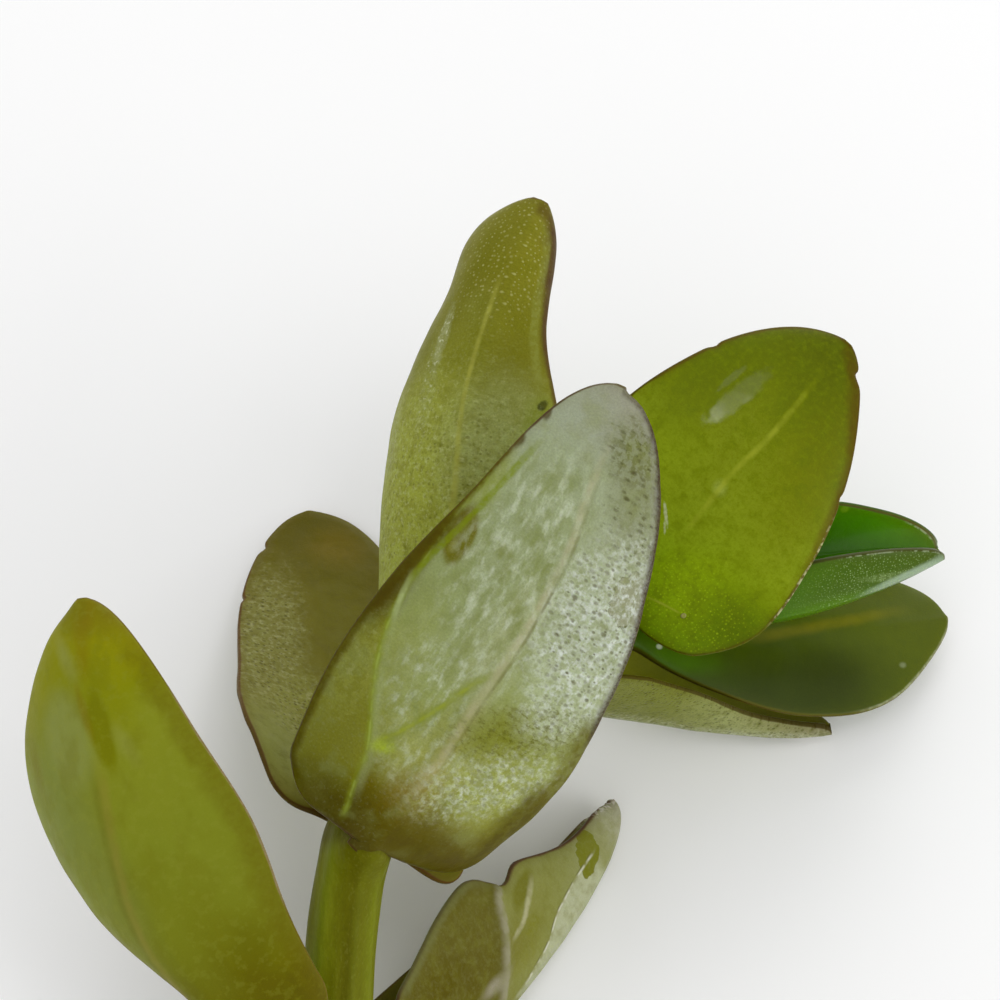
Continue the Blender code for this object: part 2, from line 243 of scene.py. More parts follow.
def leafPiece(leaf, surface, materials):
    grid, normals, flat = surface["grid"], surface["normals"], surface["flat"]
    rows, columns = grid.shape[:2]
    lineValues = []
    for values in leaf.get("lines", ()):
        points = np.array([flatPlace(surface, at) for at in values["points"]])
        s = np.linspace(0, 1, 6 * len(points))
        line = np.stack([throughMany(points[:, axis], s) for axis in range(2)], axis=1)
        lineValues.append(toLine(flat, line))
    t, q = surface["t"], surface["share"]
    half = blade["marginHalf"] + (blade["midribHalf"] - blade["marginHalf"]) * np.sqrt(1 - q**2)
    taper = np.sqrt(np.clip(1 - (blade["tipTaper"] * np.clip(t, 0, 1)) ** 4, 0, 1))
    half = half[None, :] * taper[:, None]
    middle = grid + normals * reliefOf(leaf, surface, lineValues)[..., None]
    rib = leaf.get("rib", {"under": 0.05, "upper": -0.04, "breadth": 0.20})
    ridge = np.exp(-((flat[..., 0] / rib["breadth"]) ** 2)) * smoothRise(1 - t, 0.02, 0.5)[:, None]
    upper = middle + normals * (half + rib["upper"] * ridge)[..., None]
    under = middle - normals * (half + rib["under"] * ridge)[..., None]
    tip = 0.5 * (upper[-1, columns // 2] + under[-1, columns // 2])
    tip = tip + 0.02 * unit(upper[-1, columns // 2] - upper[-2, columns // 2])
    verts = np.concatenate([upper.reshape(-1, 3), under.reshape(-1, 3), tip[None]])
    below = rows * columns
    index = np.arange(below).reshape(rows, columns)
    corners = [index[:-1, :-1], index[:-1, 1:], index[1:, 1:], index[1:, :-1]]
    upperFaces = np.stack(corners, axis=2).reshape(-1, 4)
    faces = upperFaces.tolist() + (upperFaces[:, ::-1] + below).tolist()
    left, right, first, last = index[:, 0], index[:, -1], index[0], index[-1]
    faces += [(a, b, below + b, below + a) for a, b in zip(left[:-1], left[1:])]
    faces += [(b, a, below + a, below + b) for a, b in zip(right[:-1], right[1:])]
    faces += [(b, a, below + a, below + b) for a, b in zip(first[:-1], first[1:])]
    tipIndex = 2 * below
    faces += [(a, b, tipIndex) for a, b in zip(last[:-1], last[1:])]
    faces += [(below + b, below + a, tipIndex) for a, b in zip(last[:-1], last[1:])]
    faces += [(below + last[0], last[0], tipIndex), (last[-1], below + last[-1], tipIndex)]
    faces = [tuple(int(i) for i in face) for face in faces]
    edge = edgeDistance(flat)
    places = np.concatenate([flat, edge[..., None]], axis=2).reshape(-1, 3)
    shares = np.stack(np.broadcast_arrays(t[:, None], q[None, :]), axis=2).reshape(-1, 2)
    tipPlace = [[0, flat[-1, columns // 2, 1], 0]]

    def bothSkins(values, atTip):
        return np.concatenate([values, values, atTip])

    upperShares = np.concatenate([shares, np.full((below, 1), 1.0)], axis=1)
    underShares = np.concatenate([shares, np.full((below, 1), -1.0)], axis=1)
    attributes = {
        "leafPlace": bothSkins(places, tipPlace),
        "leafShare": np.concatenate([upperShares, underShares, [[1, 0, 0]]]),
    }
    for number, (distance, share) in enumerate(lineValues):
        values = np.stack([distance, share, np.zeros_like(share)], axis=2).reshape(-1, 3)
        attributes[f"leafLine{number}"] = bothSkins(values, [[9, 0, 0]])
    piece = meshFrom(leaf["name"], verts, faces, attributes)
    for material in materials:
        piece.data.materials.append(material)
    underFaces = np.zeros(len(faces), np.int32)
    underFaces[len(upperFaces):] = 1
    piece.data.polygons.foreach_set("material_index", underFaces)
    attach(piece, "root")
    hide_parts(leaf["node"])
    print(leaf["name"], "made,", len(faces), "faces")


# Marks of a leaf's look. Places are shares along and across the blade, sizes are millimetres.
def patch(at, size, colour=None, amount=1.0, soft=0.4, **more):
    # an oval, broken up where patchy, that may colour, wet or lift the blade or name a place for other marks
    usual = {"turn": 0, "ragged": 0.15, "grain": 0.6, "patchy": 0.0, "speck": 0.3, "dots": 1.0}
    return {**usual, "at": at, "size": size, "colour": colour, "amount": amount, "soft": soft, **more}


def mottle(size, amount, colour, spread, **more):
    return {"stretch": 1.0, "size": size, "amount": amount, "colour": colour, "spread": spread, **more}


def gland(spacing, size, share, colour, strength, lift, **more):
    # small round dots, each raised or sunk by lift
    found = {"spacing": spacing, "size": size, "share": share, "colour": colour, "strength": strength}
    return {"stretch": (1.0, 1.0), **found, "lift": lift, **more}


def stroke(width, soft, colour, amount, **more):
    # a stroke of colour along a line
    found = {"width": width, "soft": soft, "colour": colour, "amount": amount}
    return {"fade": 0.1, "breaks": 0.3, "offset": 0.0, **found, **more}


def fill(side, reach, colour, amount, **more):
    # the blade on one side of a line
    found = {"side": side, "reach": reach, "colour": colour, "amount": amount}
    return {"fade": 0.1, "soft": 0.12, **found, **more}


def band(side, start, end, width, colour, amount, **more):
    # part of the right or left margin, or a stripe that runs inset from it
    found = {"start": start, "end": end, "width": width, "colour": colour, "amount": amount}
    sign = 1.0 if side == "right" else -1.0
    return {"inset": 0.0, "patchy": 0.3, "speck": 0.3, "side": sign, **found, **more}


# Node helpers: values may be sockets, numbers, vectors or colours.
def setInput(tree, socket, value):
    if isinstance(value, bpy.types.NodeSocket):
        tree.links.new(value, socket)
    else:
        socket.default_value = value


def addNode(tree, kind, inputs=None, **settings):
    node = tree.nodes.new(kind)
    for key, value in settings.items():
        setattr(node, key, value)
    for key, value in (inputs or {}).items():
        setInput(tree, node.inputs[key], value)
    return node


def compute(tree, operation, a, b=0.0, c=0.0):
    return addNode(tree, "ShaderNodeMath", {0: a, 1: b, 2: c}, operation=operation).outputs[0]


def vectors(tree, operation, a, b):
    return addNode(tree, "ShaderNodeVectorMath", {0: a, 1: b}, operation=operation).outputs[0]


def rise(tree, value, low, high):
    inputs = {"Value": value, "From Min": low, "From Max": high, "To Min": 0.0, "To Max": 1.0}
    return addNode(tree, "ShaderNodeMapRange", inputs, interpolation_type="SMOOTHSTEP").outputs[0]


def mixColour(tree, mask, a, b, blend="MIX"):
    settings = {"data_type": "RGBA", "blend_type": blend, "clamp_factor": True, "clamp_result": True}
    node = addNode(tree, "ShaderNodeMix", **settings)
    for socket, value in zip((node.inputs[0], node.inputs[6], node.inputs[7]), (mask, a, b)):
        setInput(tree, socket, value)
    return node.outputs[2]


def mixNumber(tree, mask, a, b):
    return compute(tree, "MULTIPLY_ADD", mask, compute(tree, "SUBTRACT", b, a), a)


def attribute(tree, label):
    node = addNode(tree, "ShaderNodeAttribute", attribute_name=label, attribute_type="GEOMETRY")
    parts = addNode(tree, "ShaderNodeSeparateXYZ", {0: node.outputs["Vector"]})
    return node.outputs["Vector"], parts.outputs


def startGroup(name, outputs, **inputs):
    # every group works on the flattened Place, and its outputs are masks from 0 to 1
    group = bpy.data.node_groups.new(name, "ShaderNodeTree")
    for label, value in {"Place": (0, 0, 0), **inputs}.items():
        kind = "NodeSocketVector" if isinstance(value, tuple) else "NodeSocketFloat"
        socket = group.interface.new_socket(label, in_out="INPUT", socket_type=kind)
        socket.default_value = value
    for label in outputs:
        group.interface.new_socket(label, in_out="OUTPUT", socket_type="NodeSocketFloat")
    given = group.nodes.new("NodeGroupInput").outputs
    made = group.nodes.new("NodeGroupOutput").inputs
    return group, given, made


def useGroup(tree, group, inputs):
    node = addNode(tree, "ShaderNodeGroup", node_tree=group)
    for key, value in inputs.items():
        setInput(tree, node.inputs[key], value)
    return node.outputs


def noiseOf(tree, place, size, detail=2.0, rough=0.5):
    scale = compute(tree, "DIVIDE", 1.0, size)
    inputs = {"Vector": place, "Scale": scale, "Detail": detail, "Roughness": rough}
    return addNode(tree, "ShaderNodeTexNoise", inputs, noise_dimensions="3D").outputs["Fac"]


def product(tree, *values):
    total = values[0]
    for value in values[1:]:
        total = compute(tree, "MULTIPLY", total, value)
    return total


def opposite(tree, value):
    return compute(tree, "SUBTRACT", 1.0, value)


def larger(tree, a, b):
    return compute(tree, "MAXIMUM", a, b)


def paint(tree, skin, mask, amount, colour):
    skin["colour"] = mixColour(tree, product(tree, mask, amount), skin["colour"], linear(*colour))


def raiseBy(tree, skin, mask, lift):
    # a mark without lift stays out of the height, which is worked out three times for the bump
    if lift:
        skin["height"] = compute(tree, "MULTIPLY_ADD", mask, lift, skin["height"])


def makeDotGroup():
    # small round dots, one in most cells of a loose grid, with a soft halo
    group, given, made = startGroup("glandDots", ("Dot", "Halo"), Spacing=0.35, Size=0.06, Share=0.8)
    scale = compute(group, "DIVIDE", 1.0, given["Spacing"])
    cells = addNode(
        group, "ShaderNodeTexVoronoi", {"Vector": given["Place"], "Scale": scale, "Randomness": 0.9},
        voronoi_dimensions="2D", feature="F1",
    )
    random = addNode(group, "ShaderNodeSeparateXYZ", {0: cells.outputs["Color"]}).outputs
    away = product(group, cells.outputs["Distance"], given["Spacing"])
    size = product(group, given["Size"], compute(group, "MULTIPLY_ADD", random[1], 0.9, 0.55))
    present = compute(group, "LESS_THAN", random[0], given["Share"])
    away = compute(group, "DIVIDE", away, size)
    strength = compute(group, "MULTIPLY_ADD", random[2], 0.6, 0.4)
    setInput(group, made["Dot"], product(group, rise(group, away, 1.25, 0.35), present, strength))
    setInput(group, made["Halo"], product(group, rise(group, away, 2.6, 1.1), present))
    return group


def makePatchGroup():
    # an oval with a ragged edge, 1 away from its middle, broken up inside where Patchy is high
    group, given, made = startGroup(
        "raggedPatch", ("Mask", "Edge"), Away=1.0, Soft=0.3, Ragged=0.2, Grain=0.6, Patchy=0.0, Speck=0.3,
    )
    grain = compute(group, "SUBTRACT", noiseOf(group, given["Place"], given["Grain"], 3.0, 0.6), 0.5)
    away = compute(group, "MULTIPLY_ADD", grain, product(group, given["Ragged"], 2.0), given["Away"])
    high = compute(group, "ADD", 1.0, given["Soft"])
    low = opposite(group, given["Soft"])
    mask = rise(group, away, high, low)
    holes = rise(group, noiseOf(group, given["Place"], given["Speck"], 3.0, 0.6), 0.56, 0.44)
    kept = opposite(group, product(group, holes, given["Patchy"]))
    setInput(group, made["Mask"], product(group, mask, kept))
    setInput(group, made["Edge"], product(group, 4.0, mask, opposite(group, mask)))
    return group


def makeLineGroup():
    # a line that widens, thins and breaks a little, and the blade on one side of it
    group, given, made = startGroup(
        "leafLine", ("Mask", "Beside"), Distance=0.0, Passed=0.0, Width=0.15, Soft=0.1, Fade=0.08,
        Breaks=0.2,
        Offset=0.0, Side=1.0, Reach=1.0,
    )
    away = compute(group, "ABSOLUTE", compute(group, "SUBTRACT", given["Distance"], given["Offset"]))
    wander = compute(group, "SUBTRACT", noiseOf(group, given["Place"], 0.8, 2.0), 0.5)
    width = product(group, given["Width"], compute(group, "MULTIPLY_ADD", wander, 1.6, 1.0))
    line = rise(group, away, compute(group, "ADD", width, given["Soft"]), product(group, width, 0.3))
    start = rise(group, given["Passed"], 0.0, given["Fade"])
    end = rise(group, given["Passed"], 1.0, opposite(group, given["Fade"]))
    ends = product(group, start, end)
    gaps = product(group, given["Breaks"], rise(group, noiseOf(group, given["Place"], 0.7, 2.0), 0.4, 0.6))
    setInput(group, made["Mask"], product(group, line, ends, opposite(group, gaps)))
    beside = product(group, given["Distance"], given["Side"])
    near = rise(group, beside, product(group, given["Soft"], -0.5), given["Soft"])
    far = rise(group, beside, given["Reach"], product(group, given["Reach"], 0.4))
    setInput(group, made["Beside"], product(group, near, far, ends))
    return group


def makeEdgeGroup():
    # a band along part of one margin, at some distance from it
    group, given, made = startGroup(
        "marginBand", ("Mask",), Edge=1.0, Passed=0.0, Across=0.0, Side=1.0, From=0.0, To=1.0,
        Width=0.2, Inset=0.0,
        Patchy=0.3, Speck=0.3,
    )
    away = compute(group, "ABSOLUTE", compute(group, "SUBTRACT", given["Edge"], given["Inset"]))
    uneven = compute(group, "MULTIPLY_ADD", noiseOf(group, given["Place"], 1.3, 3.0), 1.2, 0.4)
    width = product(group, given["Width"], uneven)
    band = rise(group, away, product(group, width, 1.5), product(group, width, 0.5))
    start = rise(group, compute(group, "SUBTRACT", given["Passed"], given["From"]), -0.03, 0.05)
    end = rise(group, compute(group, "SUBTRACT", given["Passed"], given["To"]), 0.03, -0.05)
    side = rise(group, product(group, given["Across"], given["Side"]), -0.05, 0.05)
    holes = rise(group, noiseOf(group, given["Place"], given["Speck"], 2.0), 0.42, 0.56)
    kept = opposite(group, product(group, holes, given["Patchy"]))
    setInput(group, made["Mask"], product(group, band, start, end, side, kept))
    return group


def makeRimGroup():
    # the thin dark rim of a leaf, uneven in width and strength
    group, given, made = startGroup("leafRim", ("Rim", "Glow"), Edge=1.0, Width=0.12)
    uneven = noiseOf(group, given["Place"], 1.6, 3.0)
    width = product(group, given["Width"], compute(group, "MULTIPLY_ADD", uneven, 1.4, 0.3))
    outer, inner = product(group, width, 1.6), product(group, width, 0.5)
    setInput(group, made["Rim"], rise(group, given["Edge"], outer, inner))
    setInput(group, made["Glow"], rise(group, given["Edge"], 0.6, 0.0))
    return group


def makeMottleGroup():
    # noise at four scales: broad clouds, small blotches, light specks and a fine grain
    outputs = ("Clouds", "Blotches", "Specks", "Fine")
    group, given, made = startGroup("leafMottle", outputs, Broad=4.0, Small=0.7, Speck=0.16, Grain=0.08)
    stretched = vectors(group, "MULTIPLY", given["Place"], (1.0, 0.45, 1.0))
    place = given["Place"]
    setInput(group, made["Clouds"], rise(group, noiseOf(group, stretched, given["Broad"], 2.0), 0.3, 0.7))
    setInput(group, made["Blotches"], rise(group, noiseOf(group, place, given["Small"], 4.0, 0.6), 0.3, 0.7))
    setInput(group, made["Specks"], rise(group, noiseOf(group, place, given["Speck"], 2.0), 0.55, 0.72))
    setInput(group, made["Fine"], rise(group, noiseOf(group, place, given["Grain"], 2.0, 0.7), 0.25, 0.75))
    return group


groups = {
    "dots": makeDotGroup(),
    "patch": makePatchGroup(),
    "line": makeLineGroup(),
    "edge": makeEdgeGroup(),
    "rim": makeRimGroup(),
    "mottle": makeMottleGroup(),
}


def tonesAlong(tree, value, tones):
    ramp = addNode(tree, "ShaderNodeValToRGB", {"Fac": value})
    stops = ramp.color_ramp.elements
    while len(stops) < len(tones):
        stops.new(0.5)
    for stop, (place, colour) in zip(stops, tones):
        stop.position = place
        stop.color = linear(*colour)
    return ramp.outputs["Color"]


def newSkin(name, look):
    material = bpy.data.materials.new(name)
    material.use_nodes = True
    shader = material.node_tree.nodes["Principled BSDF"]
    shader.inputs["Subsurface Weight"].default_value = look.get("glow", 0.2)
    shader.inputs["Subsurface Radius"].default_value = (0.7, 1.0, 0.25)
    shader.inputs["Subsurface Scale"].default_value = metresPerMm
    shader.inputs["Specular IOR Level"].default_value = look.get("shine", 0.06)
    shader.inputs["Coat Roughness"].default_value = look.get("coatRough", 0.12)
    return material, material.node_tree, shader


def finishSkin(tree, shader, skin, look):
    lessBlue = (0, 0, look.get("lessBlue", 0.008), 1)
    setInput(tree, shader.inputs["Base Color"], mixColour(tree, 1.0, skin["colour"], lessBlue, "SUBTRACT"))
    heights = {"Strength": 1.0, "Distance": metresPerMm, "Height": skin["height"]}
    bump = addNode(tree, "ShaderNodeBump", heights)
    setInput(tree, shader.inputs["Normal"], bump.outputs["Normal"])
    setInput(tree, shader.inputs["Roughness"], skin["rough"])
    setInput(tree, shader.inputs["Coat Weight"], skin["coat"])


def ovalDistance(tree, flat, centre, mark):
    # 0 at the patch's centre, 1 on its outline and 3 from there on, where no patch reaches
    furthest = 3
    ball = addNode(tree, "ShaderNodeTexGradient", {"Vector": flat}, gradient_type="SPHERICAL")
    mapping = ball.texture_mapping
    mapping.vector_type = "TEXTURE"
    mapping.translation = (*centre, 0)
    mapping.rotation = (0, 0, -math.radians(mark["turn"]))
    mapping.scale = (mark["size"][0] * furthest, mark["size"][1] * furthest, 1)
    return compute(tree, "MULTIPLY_ADD", ball.outputs["Fac"], -furthest, furthest)


def addPatches(tree, look, surface, flat, skin, masks):
    for mark in look.get("patches", ()):
        found = useGroup(tree, groups["patch"], {
            "Place": flat, "Away": ovalDistance(tree, flat, flatPlace(surface, mark["at"]), mark),
            "Soft": mark["soft"], "Ragged": mark["ragged"], "Grain": mark["grain"],
            "Patchy": mark["patchy"], "Speck": mark["speck"],
        })
        mask = found["Mask"]
        if mark["colour"]:
            paint(tree, skin, mask, mark["amount"], mark["colour"])
        if "outline" in mark:
            paint(tree, skin, found["Edge"], *mark["outline"])
        if "coat" in mark:
            skin["coat"] = larger(tree, skin["coat"], product(tree, mask, mark["coat"]))
        raiseBy(tree, skin, mask, mark.get("lift", 0.0))
        if "name" in mark:
            known = masks.get(mark["name"], 0.0)
            masks[mark["name"]] = larger(tree, known, product(tree, mask, mark["dots"]))
        if "bare" in mark:
            masks["bare"] = larger(tree, masks.get("bare", 0.0), mask)


def addDots(tree, look, flat, skin, masks):
    for mark in look.get("dots", ()):
        place = vectors(tree, "MULTIPLY", flat, (*mark["stretch"], 1.0))
        found = useGroup(tree, groups["dots"], {
            "Place": place, "Spacing": mark["spacing"], "Size": mark["size"], "Share": mark["share"],
        })
        within = masks[mark["within"]] if "within" in mark else 1.0
        if "bare" in masks:
            within = product(tree, within, opposite(tree, masks["bare"]))
        if "halo" in mark:
            amount, tint = mark["halo"]
            paint(tree, skin, product(tree, found["Halo"], within), amount, tint)
        mask = product(tree, found["Dot"], within)
        paint(tree, skin, mask, mark["strength"], mark["colour"])
        raiseBy(tree, skin, mask, mark["lift"])


def addLines(tree, leafLines, flat, skin, kind):
    # the fills lie under all other marks, and the strokes over them
    for number, values in enumerate(leafLines):
        distance, passed = attribute(tree, f"leafLine{number}")[1][:2]
        for mark in values.get(kind, ()):
            inputs = {"Distance": distance, "Passed": passed, "Place": flat}
            inputs.update({"Soft": mark["soft"], "Fade": mark["fade"]})
            if kind == "fills":
                more, output = {"Side": mark["side"], "Reach": mark["reach"]}, "Beside"
            else:
                more = {"Width": mark["width"], "Breaks": mark["breaks"], "Offset": mark["offset"]}
                output = "Mask"
            mask = useGroup(tree, groups["line"], {**inputs, **more})[output]
            paint(tree, skin, mask, mark["amount"], mark["colour"])


def addMottles(tree, look, flat, skin, masks):
    # clouds of a second tone, everywhere or within a named patch
    for number, mark in enumerate(look.get("mottles", ())):
        place = vectors(tree, "ADD", flat, (number * 3.7, number * 5.9, 0))
        place = vectors(tree, "MULTIPLY", place, (1.0, mark["stretch"], 1.0))
        mask = rise(tree, noiseOf(tree, place, mark["size"], 3.0, 0.6), *mark["spread"])
        if "within" in mark:
            mask = product(tree, mask, masks[mark["within"]])
        paint(tree, skin, mask, mark["amount"], mark["colour"])
        raiseBy(tree, skin, mask, mark.get("lift", 0.0))


def addEdges(tree, look, edge, share, flat, skin):
    rim = look["rim"]
    found = useGroup(tree, groups["rim"], {"Edge": edge, "Place": flat, "Width": rim["width"]})
    paint(tree, skin, found["Glow"], rim.get("glow", 0.2), rim["colour"])
    paint(tree, skin, found["Rim"], 0.85, rim["colour"])
    for mark in look.get("edges", ()):
        mask = useGroup(tree, groups["edge"], {
            "Edge": edge, "Passed": share[0], "Across": share[1], "Place": flat, "Side": mark["side"],
            "From": mark["start"], "To": mark["end"], "Width": mark["width"], "Inset": mark["inset"],
            "Patchy": mark["patchy"], "Speck": mark["speck"],
        })["Mask"]
        paint(tree, skin, mask, mark["amount"], mark["colour"])


def leafSkin(name, look, leafLines=(), surface=None):
    # one side of a leaf: tones from base to tip, patches, mottling, dots, lines, rim and coat; some of these
    # marks paint highlights, sheen and shade
    material, tree, shader = newSkin(name, look)
    place, placeParts = attribute(tree, "leafPlace")
    share = attribute(tree, "leafShare")[1]
    flat = vectors(tree, "MULTIPLY", place, (1, 1, 0))
    shifted = vectors(tree, "ADD", flat, (look["seed"] * 7.3, look["seed"] * 3.1, 0))
    cloud = useGroup(tree, groups["mottle"], {"Place": shifted, "Grain": look.get("grainSize", 0.08)})
    drift = 0.12
    wander = compute(tree, "MULTIPLY_ADD", compute(tree, "SUBTRACT", cloud["Clouds"], 0.5), drift, share[0])
    skin = {
        "colour": tonesAlong(tree, wander, look["tones"]),
        "rough": mixNumber(tree, cloud["Blotches"], *look["rough"]),
        "coat": look.get("coat", 0.0),
        "height": product(tree, cloud["Blotches"], look.get("blotchLift", 0.010)),
    }
    masks = {}
    addLines(tree, leafLines, flat, skin, "fills")
    addPatches(tree, look, surface, flat, skin, masks)
    addMottles(tree, look, flat, skin, masks)
    for key, output in (("clouds", "Clouds"), ("blotches", "Blotches"), ("specks", "Specks")):
        if key in look:
            paint(tree, skin, cloud[output], *look[key])
    grain = look.get("grain", 0.06)
    fine = compute(tree, "MULTIPLY_ADD", cloud["Fine"], 2 * grain, 1 - grain)
    skin["colour"] = mixColour(tree, 1.0, skin["colour"], fine, "MULTIPLY")
    raiseBy(tree, skin, cloud["Fine"], look.get("fineLift", 0.002))
    if "midrib" in look:
        rib = look["midrib"]
        near = compute(tree, "ABSOLUTE", placeParts[0])
        across = rise(tree, near, rib["width"] * 2, rib["width"] * 0.3)
        along = rise(tree, share[0], 0.98, 0.6)
        paint(tree, skin, product(tree, across, along), rib["amount"], rib["colour"])
    addDots(tree, look, flat, skin, masks)
    addLines(tree, leafLines, flat, skin, "strokes")
    addEdges(tree, look, placeParts[2], share, flat, skin)
    finishSkin(tree, shader, skin, look)
    return material


# The usual finish of the sides that carry no marks of their own.
oldUpper = {
    "tones": [(0.0, (112, 116, 34)), (0.5, (98, 96, 26)), (1.0, (94, 84, 24))],
    "clouds": (0.25, (118, 120, 44)), "blotches": (0.12, (84, 78, 22)), "specks": (0.04, (146, 146, 80)),
    "midrib": {"width": 0.12, "colour": (140, 140, 60), "amount": 0.5},
    "rim": {"width": 0.10, "colour": (84, 56, 30)},
    "rough": (0.32, 0.46), "seed": 3,
}
oldUnder = {
    "tones": [(0.0, (126, 130, 50)), (0.5, (120, 122, 44)), (1.0, (116, 114, 44))],
    "clouds": (0.3, (136, 142, 76)), "blotches": (0.12, (100, 98, 36)), "specks": (0.06, (156, 160, 106)),
    "dots": [
        gland(0.36, 0.06, 0.8, (92, 88, 40), 0.5, -0.02),
    ],
    "midrib": {"width": 0.12, "colour": (146, 144, 76), "amount": 0.5},
    "rim": {"width": 0.10, "colour": (84, 56, 30)},
    "rough": (0.34, 0.48), "seed": 5,
}
youngUpper = {
    "tones": [(0.0, (116, 142, 20)), (0.5, (106, 126, 22)), (1.0, (90, 102, 18))],
    "clouds": (0.25, (96, 112, 18)), "blotches": (0.10, (124, 142, 40)), "specks": (0.02, (150, 166, 60)),
    "midrib": {"width": 0.12, "colour": (144, 152, 56), "amount": 0.5},
    "rim": {"width": 0.10, "colour": (84, 62, 24)},
    "rough": (0.24, 0.36), "seed": 7,
}
youngUnder = {
    "tones": [(0.0, (106, 130, 44)), (0.5, (94, 114, 36)), (1.0, (90, 102, 32))],
    "clouds": (0.3, (110, 128, 60)), "blotches": (0.10, (82, 98, 30)), "specks": (0.06, (146, 166, 106)),
    "dots": [
        gland(0.32, 0.05, 0.8, (76, 90, 34), 0.4, -0.015),
    ],
    "midrib": {"width": 0.12, "colour": (134, 148, 76), "amount": 0.5},
    "rim": {"width": 0.10, "colour": (84, 66, 30)},
    "rough": (0.30, 0.44), "seed": 9,
}
plainSkins = {
    "oldUpper": leafSkin("old_leaf_upper", oldUpper),
    "oldUnder": leafSkin("old_leaf_under", oldUnder),
    "youngUpper": leafSkin("young_leaf_upper", youngUpper),
    "youngUnder": leafSkin("young_leaf_under", youngUnder),
}
leafBases = []


def makeLeaf(leaf):
    # the look of each side is the leaf's own, or one of the usual finishes by name
    surface = leafSurface(leaf)
    skins = []
    for side in ("upper", "under"):
        look = leaf[side]
        if isinstance(look, str):
            skins.append(plainSkins[look])
        else:
            skins.append(leafSkin(leaf["name"] + "_" + side, look, leaf.get("lines", ()), surface))
    leafBases.append(leaf["midrib"][0])
    leafPiece(leaf, surface, skins)


